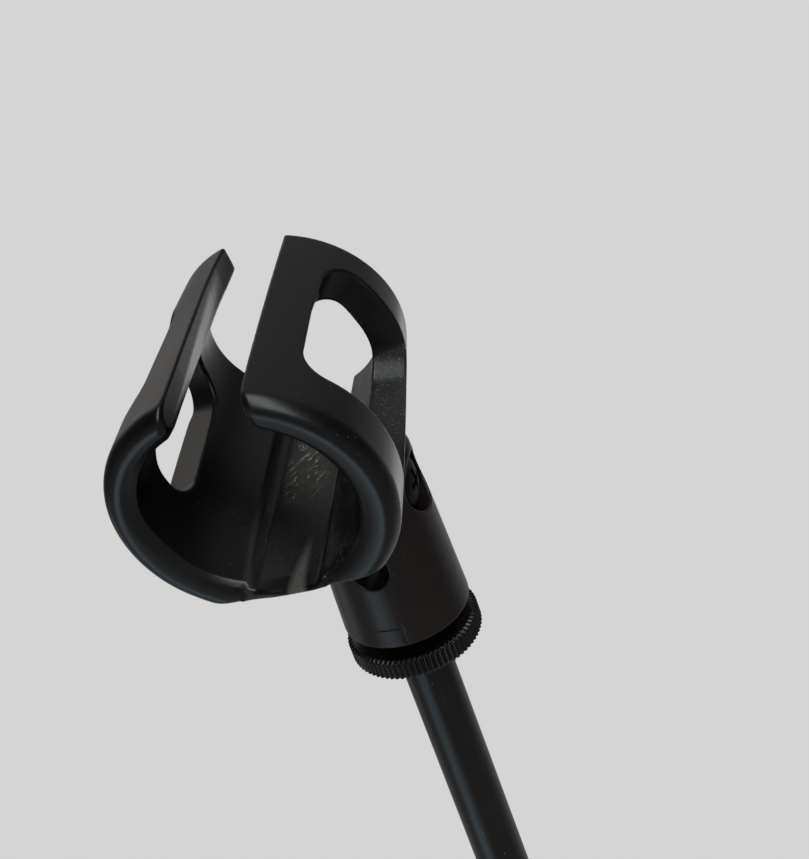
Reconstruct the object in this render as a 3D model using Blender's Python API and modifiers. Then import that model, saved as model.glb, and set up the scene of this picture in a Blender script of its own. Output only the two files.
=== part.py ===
"""Boom microphone stand: folding tripod, telescoping mast, telescoping boom and a slotted microphone clip.

Units are metres. +Z is up, the origin is on the floor on the mast's axis, and the boom rises towards +X.
Each moving piece has its origin, or its parent empty, on its joint's axis.
"""

import math

import bmesh
import bpy
from mathutils import Matrix, Vector

MM = 0.001

# Overall layout
BOOM_RISE = math.radians(50.0)  # boom above the horizontal
PIVOT_Z = 850 * MM  # tilt axis above the floor
BOOM_SIDE = 19.4 * MM  # boom axis beside the mast axis, towards +Y
BOOM_ABOVE = 19.0 * MM  # boom axis from the tilt axis, square to the boom
NECK_REACH = 450 * MM  # tilt axis to the clip neck's lower rim, along the boom

# Tripod
LEG_PIVOT_R = 36 * MM
LEG_PIVOT_Z = 118 * MM
LEG_SLOPE = math.radians(22.0)
LEG_LENGTH = 284 * MM
LEG_R = 8 * MM
FOOT_R = 12.5 * MM
HUB_R = 25 * MM
EAR_R = 11 * MM
TONGUE_HALF = 4.4 * MM

# Mast
TUBE_R = 11 * MM
ROD_R = 8 * MM
TUBE_TOP = 560 * MM
ROD_FOOT = 130 * MM
ROD_TOP = 803 * MM

# Boom
BOOM_R = 8 * MM
BOOM_TAIL = -235 * MM
BOOM_FRONT = 262 * MM
INNER_R = 5.0 * MM
INNER_BORE = 4.0 * MM
INNER_TAIL = 60 * MM
WEIGHT_R = 26 * MM
WEIGHT_FROM, WEIGHT_TO = -220 * MM, -160 * MM

# Clip neck, measured from its lower rim along the boom
NECK_R = 12 * MM
NECK_R_TOP = 10.9 * MM
NECK_H = 35.5 * MM
HINGE_H = 28 * MM
FORK_HALF = 3.3 * MM
FORK_FLOOR = 13.7 * MM
POCKET_R = 5.7 * MM
RING_R = 12.7 * MM
RING_FROM, RING_TO = -6.76 * MM, -2.94 * MM
RING_TEETH = 74

# Clip: a tapered C round a bore axis; s runs along the bore from the wide end, "down" points at the neck
CLIP_TILT = math.radians(7.1)
CLIP_LENGTH = 46.3 * MM
CLIP_NEAR_Y = -49.18 * MM
CLIP_NEAR_Z = 59.64 * MM
CLIP_FLAT = 17.9 * MM
CHANNEL_HALF = 6.2 * MM
CHANNEL_FLOOR = 16.6 * MM
SLOT_NEAR, SLOT_FAR = 6.6 * MM, 5.8 * MM
WINDOW_ANGLES = (math.radians(36.0), math.radians(110.0))
TONGUE_R = 6.0 * MM


def collection(name):
    made = bpy.data.collections.new(name)
    bpy.context.scene.collection.children.link(made)
    return made


def material(name, colour, roughness, metallic=0.0):
    made = bpy.data.materials.new(name)
    made.use_nodes = True
    shader = made.node_tree.nodes["Principled BSDF"]
    shader.inputs["Base Color"].default_value = (*colour, 1.0)
    shader.inputs["Roughness"].default_value = roughness
    shader.inputs["Metallic"].default_value = metallic
    made.diffuse_color = (*colour, 1.0)
    return made


for old in list(bpy.data.objects):
    bpy.data.objects.remove(old, do_unlink=True)
PARTS = collection("boom_microphone_stand")
TOOLS = collection("boom_microphone_stand_cutters")

BLACK_PAINT = ((0.020, 0.019, 0.018), 0.42, 0.0)
BLACK_PLASTIC = ((0.018, 0.018, 0.020), 0.48, 0.0)
STEEL = ((0.55, 0.55, 0.56), 0.30, 1.0)
BLACK_STEEL = ((0.03, 0.03, 0.03), 0.45, 1.0)
BRASS = ((0.70, 0.52, 0.24), 0.35, 1.0)
RUBBER = ((0.025, 0.025, 0.025), 0.85, 0.0)
CAST = ((0.03, 0.03, 0.03), 0.60, 0.3)


def frame(name, location=(0, 0, 0), rotation=None, parent=None):
    """An empty that holds the pieces which share one axis."""
    made = bpy.data.objects.new(name, None)
    made.empty_display_size = 0.02
    PARTS.objects.link(made)
    made.parent = parent
    made.location = location
    if rotation is not None:
        made.rotation_euler = rotation
    return made


def put(obj, parent=None, location=(0, 0, 0), rotation=(0, 0, 0), look=None):
    obj.parent = parent
    obj.location = location
    obj.rotation_euler = rotation
    if look is not None:
        obj.data.materials.append(material(obj.name + "_finish", *look))
    return obj


def from_bmesh(name, shape):
    bmesh.ops.recalc_face_normals(shape, faces=shape.faces)
    mesh = bpy.data.meshes.new(name)
    shape.to_mesh(mesh)
    shape.free()
    mesh.shade_smooth()
    mesh.set_sharp_from_angle(angle=math.radians(32))
    obj = bpy.data.objects.new(name, mesh)
    PARTS.objects.link(obj)
    return obj


def turned(name, profile, steps=24):
    """A profile of (radius, height) turned about Z. It runs down its outer side, and is closed unless it ends on the axis."""
    points = [(r, 0.0, z) for r, z in profile]
    edges = [(i, i + 1) for i in range(len(points) - 1)]
    if profile[0][0] > 0:
        edges.append((len(points) - 1, 0))
    mesh = bpy.data.meshes.new(name)
    mesh.from_pydata(points, edges, [])
    obj = bpy.data.objects.new(name, mesh)
    PARTS.objects.link(obj)
    turn = obj.modifiers.new("Turn", "SCREW")
    turn.axis = "Z"
    turn.angle = 2 * math.pi
    turn.steps = steps
    turn.render_steps = steps
    turn.use_merge_vertices = True
    turn.merge_threshold = 0.00001
    turn.use_smooth_shade = True
    return obj


def block(name, low, high, bevel=0.0, segments=2):
    """A box between two corners, its origin at its middle, with its size in its mesh."""
    low, high = Vector(low), Vector(high)
    shape = bmesh.new()
    bmesh.ops.create_cube(shape, size=1.0, matrix=Matrix.Diagonal((*(high - low), 1.0)))
    obj = from_bmesh(name, shape)
    obj.location = (low + high) / 2
    if bevel:
        edge = obj.modifiers.new("Round", "BEVEL")
        edge.width = bevel
        edge.segments = segments
    return obj


def rod_along(name, axis, radius, start, end, centre=(0.0, 0.0), steps=24):
    """A cylinder along X, Y or Z from start to end. centre holds its other two coordinates, in X, Y, Z order."""
    shape = bmesh.new()
    turn = {
        "X": Matrix.Rotation(math.pi / 2, 4, "Y"),
        "Y": Matrix.Rotation(math.pi / 2, 4, "X"),
        "Z": Matrix.Identity(4),
    }[axis]
    bmesh.ops.create_cone(
        shape,
        cap_ends=True,
        segments=steps,
        radius1=radius,
        radius2=radius,
        depth=abs(end - start),
        matrix=turn,
    )
    obj = from_bmesh(name, shape)
    middle = (start + end) / 2
    a, b = centre
    obj.location = {"X": (middle, a, b), "Y": (a, middle, b), "Z": (a, b, middle)}[axis]
    return obj


def combine(obj, other, operation):
    """Joins to obj, or cuts from it, a helper that lives in the same frame."""
    TOOLS.objects.link(other)
    PARTS.objects.unlink(other)
    other.name = obj.name + "_" + other.name
    other.parent = obj.parent
    other.matrix_parent_inverse = Matrix.Identity(4)
    other.hide_render = True
    other.display_type = "WIRE"
    step = obj.modifiers.new(other.name, "BOOLEAN")
    step.operation = operation
    step.solver = "EXACT"
    step.object = other
    return obj


def join(obj, other):
    return combine(obj, other, "UNION")


def cut(obj, other):
    return combine(obj, other, "DIFFERENCE")


def thumb_screw(name, parent, location, rotation, stem_r, stem, look):
    """A screw with a flat grip. Its tip is at its origin and it runs along +Z."""
    top = stem + 9 * MM
    screw = turned(
        name,
        [
            (0, top),
            (4.2 * MM, top),
            (5.2 * MM, top - 1 * MM),
            (5.2 * MM, stem),
            (stem_r, stem),
            (stem_r, 0.6 * MM),
            (stem_r - 0.6 * MM, 0),
            (0, 0),
        ],
        16,
    )
    holder = frame(name + "_axis", location, rotation, parent)
    put(screw, holder, look=look)
    join(
        screw,
        block(
            "grip",
            (-11 * MM, -1.9 * MM, stem + 2.5 * MM),
            (11 * MM, 1.9 * MM, stem + 15 * MM),
            1.2 * MM,
            1,
        ),
    )
    return screw


STAND = frame("stand")

# ---------------------------------------------------------------- tripod
hub = turned(
    "leg_hub",
    [
        (15 * MM, 152 * MM),
        (23 * MM, 138 * MM),
        (HUB_R, 134 * MM),
        (HUB_R, 102 * MM),
        (23 * MM, 98 * MM),
        (11.4 * MM, 98 * MM),
        (11.4 * MM, 152 * MM),
    ],
    28,
)
put(hub, STAND, look=CAST)
for letter, azimuth in zip("abc", (0, 120, 240)):
    spin = Matrix.Rotation(math.radians(azimuth), 4, "Z")

    def aim(obj):
        """Turns a helper made for the +X leg round the mast to this leg."""
        obj.matrix_basis = spin @ Matrix.Translation(obj.location)
        return obj

    join(
        hub,
        aim(
            block(
                "ear_" + letter,
                (18 * MM, -8.7 * MM, LEG_PIVOT_Z - EAR_R + 0.6 * MM),
                (LEG_PIVOT_R + 2 * MM, 8.7 * MM, LEG_PIVOT_Z + EAR_R - 0.6 * MM),
            )
        ),
    )
    join(
        hub,
        aim(
            rod_along(
                "ear_end_" + letter,
                "Y",
                EAR_R,
                -9 * MM,
                9 * MM,
                (LEG_PIVOT_R, LEG_PIVOT_Z),
                20,
            )
        ),
    )
for letter, azimuth in zip("abc", (0, 120, 240)):
    spin = Matrix.Rotation(math.radians(azimuth), 4, "Z")
    cut(
        hub,
        aim(
            block(
                "gap_" + letter,
                (26.3 * MM, -4.7 * MM, 90 * MM),
                (60 * MM, 4.7 * MM, 150 * MM),
            )
        ),
    )
    cut(
        hub,
        aim(
            rod_along(
                "pin_hole_" + letter,
                "Y",
                2.8 * MM,
                -15 * MM,
                15 * MM,
                (LEG_PIVOT_R, LEG_PIVOT_Z),
                12,
            )
        ),
    )

screw_way = Matrix.Rotation(math.radians(60), 4, "Z")
hole = rod_along("screw_hole", "X", 3.4 * MM, 9 * MM, 40 * MM, (0, 116 * MM), 16)
hole.matrix_basis = screw_way @ Matrix.Translation(hole.location) @ Matrix.Identity(4)
cut(hub, hole)
out = Vector((math.cos(math.radians(60)), math.sin(math.radians(60)), 0))
thumb_screw(
    "hub_screw",
    STAND,
    out * 11.6 * MM + Vector((0, 0, 116 * MM)),
    out.to_track_quat("Z", "Y").to_euler(),
    3 * MM,
    17 * MM,
    STEEL,
)

for letter, azimuth in zip("abc", (0, 120, 240)):
    turn = math.radians(azimuth)
    # The leg's frame is on its hinge, with +X outwards and down the leg.
    holder = frame(
        "leg_axis_" + letter,
        (LEG_PIVOT_R * math.cos(turn), LEG_PIVOT_R * math.sin(turn), LEG_PIVOT_Z),
        (Matrix.Rotation(turn, 3, "Z") @ Matrix.Rotation(LEG_SLOPE, 3, "Y")).to_euler(),
        STAND,
    )
    leg = put(
        rod_along("leg_" + letter, "X", LEG_R, 12.5 * MM, LEG_LENGTH),
        holder,
        (0.5 * (12.5 * MM + LEG_LENGTH), 0, 0),
        look=BLACK_PAINT,
    )
    join(
        leg,
        block("web", (0, -TONGUE_HALF, -7.6 * MM), (16 * MM, TONGUE_HALF, 7.6 * MM)),
    )
    join(leg, rod_along("eye", "Y", 7.9 * MM, -TONGUE_HALF + 0.2 * MM, TONGUE_HALF - 0.2 * MM))
    cut(leg, rod_along("eye_hole", "Y", 2.8 * MM, -12 * MM, 12 * MM, steps=16))
    cut(leg, rod_along("bore", "X", 6.8 * MM, 30 * MM, 300 * MM))

    foot = put(
        turned(
            "leg_foot_" + letter,
            [
                (0, 292 * MM),
                (10.5 * MM, 292 * MM),
                (FOOT_R, 290 * MM),
                (FOOT_R, 270 * MM),
                (10.5 * MM, 257 * MM),
                (8.4 * MM, 257 * MM),
                (8.4 * MM, 284.4 * MM),
                (0, 284.4 * MM),
            ],
        ),
        holder,
        rotation=(0, math.pi / 2, 0),
        look=RUBBER,
    )
    # The ground plane trims the foot to a flat pad.
    pad = block("ground", (-60 * MM, -60 * MM, -40 * MM), (60 * MM, 60 * MM, 0))
    reach = LEG_PIVOT_R + LEG_LENGTH * math.cos(LEG_SLOPE)
    combine(foot, pad, "DIFFERENCE")
    pad.parent = STAND
    pad.location = (reach * math.cos(turn), reach * math.sin(turn), -20 * MM)

    put(
        turned(
            "leg_pin_" + letter,
            [
                (0, 11.6 * MM),
                (3.6 * MM, 11.6 * MM),
                (4.6 * MM, 10.6 * MM),
                (4.6 * MM, 9.3 * MM),
                (2.5 * MM, 9.3 * MM),
                (2.5 * MM, -11.2 * MM),
                (1.9 * MM, -11.8 * MM),
                (0, -11.8 * MM),
            ],
            16,
        ),
        holder,
        rotation=(math.pi / 2, 0, 0),
        look=STEEL,
    )

# ---------------------------------------------------------------- mast
put(
    turned(
        "mast_foot",
        [
            (0, 26 * MM),
            (8.6 * MM, 26 * MM),
            (9.1 * MM, 25 * MM),
            (9.1 * MM, 6 * MM),
            (14 * MM, 6 * MM),
            (14 * MM, 1 * MM),
            (13 * MM, 0),
            (0, 0),
        ],
    ),
    STAND,
    look=RUBBER,
)
put(
    turned(
        "mast_tube",
        [
            (TUBE_R, TUBE_TOP),
            (TUBE_R, 6.4 * MM),
            (9.5 * MM, 6.4 * MM),
            (9.5 * MM, TUBE_TOP),
        ],
        28,
    ),
    STAND,
    look=BLACK_PAINT,
)
put(
    turned(
        "height_clutch",
        [
            (13 * MM, 600 * MM),
            (13 * MM, 576 * MM),
            (16.5 * MM, 573 * MM),
            (16.5 * MM, 530 * MM),
            (14 * MM, 520 * MM),
            (11.4 * MM, 520 * MM),
            (11.4 * MM, 560.4 * MM),
            (8.5 * MM, 560.4 * MM),
            (8.5 * MM, 600 * MM),
        ],
    ),
    STAND,
    look=BLACK_PLASTIC,
)
put(
    turned(
        "height_grip",
        [
            (16.5 * MM, 612 * MM),
            (18.5 * MM, 609 * MM),
            (18.5 * MM, 580 * MM),
            (17.5 * MM, 577 * MM),
            (13.5 * MM, 577 * MM),
            (13.5 * MM, 600.4 * MM),
            (8.5 * MM, 600.4 * MM),
            (8.5 * MM, 612 * MM),
        ],
        16,
    ),
    STAND,
    look=RUBBER,
)
put(
    turned(
        "mast_rod",
        [
            (ROD_R, ROD_TOP),
            (ROD_R, ROD_FOOT),
            (6.8 * MM, ROD_FOOT),
            (6.8 * MM, ROD_TOP),
        ],
    ),
    STAND,
    look=BLACK_PAINT,
)

# ---------------------------------------------------------------- head
SWIVEL = frame("swivel_axis", (0, 0, ROD_TOP), None, STAND)
head = put(
    turned(
        "head_socket",
        [
            (0, 816 * MM),
            (10.5 * MM, 816 * MM),
            (13.2 * MM, 812 * MM),
            (13.2 * MM, 778 * MM),
            (12 * MM, 776 * MM),
            (8.4 * MM, 776 * MM),
            (8.4 * MM, 803.4 * MM),
            (0, 803.4 * MM),
        ],
    ),
    STAND,
    look=CAST,
)
join(
    head, block("stalk", (-10 * MM, -7 * MM, 808 * MM), (10 * MM, 5 * MM, PIVOT_Z))
)
join(head, rod_along("ear", "Y", 18 * MM, -7 * MM, 5 * MM, (0, PIVOT_Z), 32))
cut(head, rod_along("bolt_hole", "Y", 4.4 * MM, -20 * MM, 20 * MM, (0, PIVOT_Z), 20))
cut(head, rod_along("screw_hole", "X", 2.9 * MM, -20 * MM, -2 * MM, (0, 790 * MM), 14))
set_screw = put(
    turned(
        "head_screw",
        [(0, 14.5 * MM), (2.1 * MM, 14.5 * MM), (2.5 * MM, 14 * MM), (2.5 * MM, 8.8 * MM), (0, 8.6 * MM)],
        14,
    ),
    STAND,
    (0, 0, 790 * MM),
    (0, -math.pi / 2, 0),
    look=STEEL,
)
cut(set_screw, rod_along("key_hole", "X", 1.3 * MM, -20 * MM, -12 * MM, (0, 790 * MM), 6))

# The tilt axis runs along world +Y, which is this frame's +Z.
TILT = frame("tilt_axis", (0, 0, PIVOT_Z), (-math.pi / 2, 0, 0), STAND)
put(
    turned(
        "friction_disc",
        [(16 * MM, 6.3 * MM), (16 * MM, 5.3 * MM), (4.7 * MM, 5.3 * MM), (4.7 * MM, 6.3 * MM)],
        28,
    ),
    TILT,
    look=RUBBER,
)
put(
    turned(
        "pivot_bolt",
        [
            (0, 47.5 * MM),
            (3.4 * MM, 47.5 * MM),
            (4.0 * MM, 46.9 * MM),
            (4.0 * MM, -7.3 * MM),
            (9.0 * MM, -7.3 * MM),
            (8.2 * MM, -10.5 * MM),
            (4.0 * MM, -12.3 * MM),
            (0, -12.3 * MM),
        ],
        20,
    ),
    TILT,
    look=STEEL,
)
put(
    turned(
        "pivot_washer",
        [(10 * MM, 33.7 * MM), (10 * MM, 32.2 * MM), (4.4 * MM, 32.2 * MM), (4.4 * MM, 33.7 * MM)],
        20,
    ),
    TILT,
    look=STEEL,
)
wing = put(
    turned(
        "pivot_wing",
        [
            (0, 52 * MM),
            (7 * MM, 52 * MM),
            (9 * MM, 50 * MM),
            (10 * MM, 34 * MM),
            (4.4 * MM, 34 * MM),
            (4.4 * MM, 48 * MM),
            (0, 48 * MM),
        ],
        20,
    ),
    TILT,
    look=BLACK_PLASTIC,
)
for side in (1, -1):
    ear = block("wing_%s" % ("a" if side > 0 else "b"), (5.5 * MM, -3 * MM, 39 * MM), (25 * MM, 3 * MM, 55 * MM), 1.5 * MM, 1)
    ear.location.x *= side
    join(wing, ear)

# ---------------------------------------------------------------- boom
# The boom's frame is on the tilt axis: +X along that axis, +Y square to the boom, +Z along the boom.
rise = math.sin(BOOM_RISE), math.cos(BOOM_RISE)
turn = Matrix(((0, -rise[0], rise[1]), (1, 0, 0), (0, rise[1], rise[0])))
BOOM_PIVOT = frame("boom_pivot", (0, 0, PIVOT_Z), turn.to_euler(), STAND)
BOOM_AXIS = frame("boom_axis", (BOOM_SIDE, BOOM_ABOVE, 0), None, BOOM_PIVOT)

clamp = put(
    rod_along("boom_clamp", "X", 16 * MM, 6.6 * MM, 31.9 * MM, steps=32),
    BOOM_PIVOT,
    ((6.6 + 31.9) / 2 * MM, 0, 0),
    look=CAST,
)
join(clamp, block("bridge", (7.4 * MM, 2 * MM, -14 * MM), (31.4 * MM, BOOM_ABOVE, 14 * MM), 1.5 * MM, 1))
join(clamp, rod_along("barrel", "Z", 12.5 * MM, -24 * MM, 24 * MM, (BOOM_SIDE, BOOM_ABOVE), 32))
join(clamp, rod_along("screw_boss", "Y", 6.5 * MM, 27 * MM, 35 * MM, (BOOM_SIDE, 0)))
cut(clamp, rod_along("boom_bore", "Z", 8.45 * MM, -40 * MM, 40 * MM, (BOOM_SIDE, BOOM_ABOVE), 28))
cut(clamp, rod_along("bolt_bore", "X", 4.4 * MM, 0, 40 * MM, (0, 0), 20))
cut(clamp, rod_along("screw_bore", "Y", 3.4 * MM, 22 * MM, 40 * MM, (BOOM_SIDE, 0), 16))
cut(clamp, block("slit", (24 * MM, BOOM_ABOVE - 0.9 * MM, -30 * MM), (40 * MM, BOOM_ABOVE + 0.9 * MM, 30 * MM)))

thumb_screw(
    "boom_lock_screw",
    BOOM_AXIS,
    (0, 8.7 * MM, 0),
    (-math.pi / 2, 0, 0),
    3 * MM,
    10 * MM,
    STEEL,
)
put(
    turned(
        "boom_tube",
        [
            (BOOM_R, BOOM_FRONT),
            (BOOM_R, BOOM_TAIL),
            (6.8 * MM, BOOM_TAIL),
            (6.8 * MM, BOOM_FRONT),
        ],
    ),
    BOOM_AXIS,
    look=BLACK_PAINT,
)
put(
    turned(
        "boom_end_cap",
        [
            (0, BOOM_TAIL + 13 * MM),
            (5.8 * MM, BOOM_TAIL + 13 * MM),
            (6.4 * MM, BOOM_TAIL + 12 * MM),
            (6.4 * MM, BOOM_TAIL - 0.3 * MM),
            (9.5 * MM, BOOM_TAIL - 0.3 * MM),
            (9.5 * MM, BOOM_TAIL - 6 * MM),
            (7.5 * MM, BOOM_TAIL - 8.5 * MM),
            (0, BOOM_TAIL - 8.5 * MM),
        ],
    ),
    BOOM_AXIS,
    look=BLACK_PLASTIC,
)
weight = put(
    turned(
        "counterweight",
        [
            (WEIGHT_R - 3 * MM, WEIGHT_TO),
            (WEIGHT_R, WEIGHT_TO - 3 * MM),
            (WEIGHT_R, WEIGHT_FROM + 3 * MM),
            (WEIGHT_R - 3 * MM, WEIGHT_FROM),
            (8.5 * MM, WEIGHT_FROM),
            (8.5 * MM, WEIGHT_TO),
        ],
        28,
    ),
    BOOM_AXIS,
    look=CAST,
)
cut(weight, rod_along("screw_bore", "Y", 3.4 * MM, 4 * MM, 40 * MM, (0, (WEIGHT_FROM + WEIGHT_TO) / 2), 16))
thumb_screw(
    "counterweight_screw",
    BOOM_AXIS,
    (0, 8.7 * MM, (WEIGHT_FROM + WEIGHT_TO) / 2),
    (-math.pi / 2, 0, 0),
    3 * MM,
    19 * MM,
    STEEL,
)
put(
    turned(
        "boom_clutch",
        [
            (9.5 * MM, 292 * MM),
            (9.5 * MM, 272 * MM),
            (12.5 * MM, 269 * MM),
            (12.5 * MM, 240 * MM),
            (10.5 * MM, 232 * MM),
            (8.4 * MM, 232 * MM),
            (8.4 * MM, BOOM_FRONT + 0.4 * MM),
            (5.5 * MM, BOOM_FRONT + 0.4 * MM),
            (5.5 * MM, 292 * MM),
        ],
    ),
    BOOM_AXIS,
    look=BLACK_PLASTIC,
)
put(
    turned(
        "boom_grip",
        [
            (12.3 * MM, 301 * MM),
            (14 * MM, 298.5 * MM),
            (14 * MM, 276 * MM),
            (13 * MM, 273 * MM),
            (9.95 * MM, 273 * MM),
            (9.95 * MM, 292.4 * MM),
            (5.5 * MM, 292.4 * MM),
            (5.5 * MM, 301 * MM),
        ],
        16,
    ),
    BOOM_AXIS,
    look=RUBBER,
)
ROD_END = NECK_REACH + RING_FROM - 0.3 * MM
put(
    turned(
        "boom_rod",
        [
            (INNER_R - 0.3 * MM, ROD_END),
            (INNER_R, ROD_END - 0.4 * MM),
            (INNER_R, INNER_TAIL),
            (INNER_BORE, INNER_TAIL),
            (INNER_BORE, ROD_END),
        ],
        28,
    ),
    BOOM_AXIS,
    look=BLACK_PAINT,
)

# ---------------------------------------------------------------- clip neck
NECK = frame("neck_base", (0, 0, NECK_REACH), None, BOOM_AXIS)
put(
    turned(
        "rod_stud",
        [
            (0, 6 * MM),
            (3.1 * MM, 6 * MM),
            (3.65 * MM, 5.4 * MM),
            (3.65 * MM, -28 * MM),
            (0, -28 * MM),
        ],
        18,
    ),
    NECK,
    look=STEEL,
)

# The lock ring: every second point of a disc's rim is drawn in, which leaves straight pointed teeth.
shape = bmesh.new()
bmesh.ops.create_cone(
    shape,
    cap_ends=True,
    segments=2 * RING_TEETH,
    radius1=RING_R,
    radius2=RING_R,
    depth=RING_TO - RING_FROM,
)
for point in shape.verts:
    step = round((math.atan2(point.co.y, point.co.x) % (2 * math.pi)) / (math.pi / RING_TEETH))
    if step % 2:
        point.co.x *= 1 - 0.42 * MM / RING_R
        point.co.y *= 1 - 0.42 * MM / RING_R
ring = put(
    from_bmesh("adapter_ring", shape),
    NECK,
    (0, 0, (RING_FROM + RING_TO) / 2),
    look=BLACK_PLASTIC,
)
join(ring, rod_along("barrel", "Z", 7.5 * MM, -5 * MM, 8.5 * MM))
cut(ring, rod_along("bore", "Z", 4.0 * MM, -12 * MM, 14 * MM, steps=20))

put(
    turned(
        "neck_insert",
        [(9.5 * MM, 9.6 * MM), (9.5 * MM, 0.5 * MM), (7.95 * MM, 0.5 * MM), (7.95 * MM, 9.6 * MM)],
        28,
    ),
    NECK,
    look=BRASS,
)
neck = put(
    turned(
        "clip_neck",
        [
            (0, NECK_H),
            (NECK_R_TOP - 1.4 * MM, NECK_H),
            (NECK_R_TOP, NECK_H - 1.6 * MM),
            (11.35 * MM, 20 * MM),
            (NECK_R, 1.0 * MM),
            (11.6 * MM, 0.25 * MM),
            (10.9 * MM, 0),
            (9.9 * MM, 0),
            (9.9 * MM, 10 * MM),
            (0, 10 * MM),
        ],
        32,
    ),
    NECK,
    look=BLACK_PLASTIC,
)
cut(neck, block("fork", (-FORK_HALF, -20 * MM, FORK_FLOOR + FORK_HALF), (FORK_HALF, 20 * MM, 50 * MM)))
cut(neck, rod_along("fork_floor", "Y", FORK_HALF, -20 * MM, 20 * MM, (0, FORK_FLOOR + FORK_HALF)))
cut(neck, rod_along("pocket_a", "X", POCKET_R, 7 * MM, 20 * MM, (0, HINGE_H), 28))
cut(neck, rod_along("pocket_b", "X", POCKET_R, -20 * MM, -7 * MM, (0, HINGE_H), 28))
cut(neck, rod_along("hinge_bore", "X", 2.35 * MM, -20 * MM, 20 * MM, (0, HINGE_H), 16))

# The clip's hinge: this frame's +Z runs along the hinge bolt.
HINGE = frame("clip_hinge", (0, 0, HINGE_H), (0, math.pi / 2, 0), NECK)
bolt = put(
    turned(
        "hinge_bolt",
        [
            (0, 10.2 * MM),
            (3.8 * MM, 10.2 * MM),
            (4.7 * MM, 9.4 * MM),
            (4.7 * MM, 7.3 * MM),
            (2.0 * MM, 7.3 * MM),
            (2.0 * MM, -10 * MM),
            (1.6 * MM, -10.4 * MM),
            (0, -10.4 * MM),
        ],
        20,
    ),
    HINGE,
    look=BLACK_STEEL,
)
cut(bolt, block("drive_a", (-3 * MM, -0.5 * MM, 9 * MM), (3 * MM, 0.5 * MM, 12 * MM)))
cut(bolt, block("drive_b", (-0.5 * MM, -3 * MM, 9 * MM), (0.5 * MM, 3 * MM, 12 * MM)))
nut = put(
    rod_along("hinge_nut", "Z", 4.6 * MM, -10 * MM, -7.3 * MM, steps=6),
    HINGE,
    (0, 0, (-10 - 7.3) / 2 * MM),
    look=BLACK_STEEL,
)
cut(nut, rod_along("thread", "Z", 2.35 * MM, -14 * MM, -4 * MM, steps=16))

# ---------------------------------------------------------------- clip
# The clip's frame: +X along the hinge, +Y down towards the neck, +Z along the bore from its wide end.
turn = Matrix(
    (
        (1, 0, 0),
        (0, math.sin(CLIP_TILT), math.cos(CLIP_TILT)),
        (0, -math.cos(CLIP_TILT), math.sin(CLIP_TILT)),
    )
)
HINGE_CENTRE = frame("clip_tilt_axis", (0, 0, HINGE_H), None, NECK)
BORE = frame("clip_bore", (0, CLIP_NEAR_Y, CLIP_NEAR_Z - HINGE_H), turn.to_euler(), HINGE_CENTRE)
hinge_in_bore = turn.transposed() @ Vector((0, -CLIP_NEAR_Y, HINGE_H - CLIP_NEAR_Z))

clip = put(
    turned(
        "mic_clip",
        [
            (19.37 * MM, CLIP_LENGTH),
            (20.5 * MM, 36 * MM),
            (21.6 * MM, 25 * MM),
            (23.35 * MM, 3.1 * MM),
            (22.5 * MM, 0.95 * MM),
            (20.3 * MM, 0),
            (18.13 * MM, 0.9 * MM),
            (17.0 * MM, 2.2 * MM),
            (15.2 * MM, 25 * MM),
            (14.6 * MM, CLIP_LENGTH),
        ],
        56,
    ),
    BORE,
    look=BLACK_PLASTIC,
)
# A shelf in the bore's floor keeps the wall above the flat whole at the wide end.
join(clip, block("shelf", (-8 * MM, 16 * MM, 0.35 * MM), (8 * MM, 19 * MM, 30 * MM)))
cut(clip, block("keel_flat", (-30 * MM, CLIP_FLAT, -5 * MM), (30 * MM, 40 * MM, 60 * MM)))

# The tongue: a plate whose outline runs round the hinge eye and widens up into the clip's floor.
outline = []
for i in range(13):
    a = math.radians(-20 + 220 * i / 12)
    outline.append(
        (
            hinge_in_bore.y + TONGUE_R * math.sin(a),
            hinge_in_bore.z + TONGUE_R * math.cos(a),
        )
    )
outline += [(21.4 * MM, 31.5 * MM), (17.3 * MM, 27.5 * MM), (17.2 * MM, 45.6 * MM), (21.4 * MM, 45.9 * MM)]
shape = bmesh.new()
near_side = [shape.verts.new((-2.9 * MM, y, z)) for y, z in outline]
face = shape.faces.new(near_side)
grown = bmesh.ops.extrude_face_region(shape, geom=[face])
bmesh.ops.translate(
    shape,
    verts=[v for v in grown["geom"] if isinstance(v, bmesh.types.BMVert)],
    vec=(5.8 * MM, 0, 0),
)
join(clip, from_bmesh("tongue", shape))
cut(
    clip,
    rod_along(
        "eye_hole",
        "X",
        2.35 * MM,
        -10 * MM,
        10 * MM,
        (hinge_in_bore.y, hinge_in_bore.z),
        16,
    ),
)
cut(clip, block("floor_channel", (-CHANNEL_HALF, 5 * MM, -5 * MM), (CHANNEL_HALF, CHANNEL_FLOOR, 60 * MM)))

slot = block("slot", (-SLOT_NEAR, -40 * MM, -10 * MM), (SLOT_NEAR, -2 * MM, CLIP_LENGTH + 10 * MM))
taper = (SLOT_FAR - SLOT_NEAR) / CLIP_LENGTH
for point in slot.data.vertices:
    z = point.co.z + slot.location.z
    point.co.x = math.copysign(SLOT_NEAR + taper * z, point.co.x)
cut(clip, slot)

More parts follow.
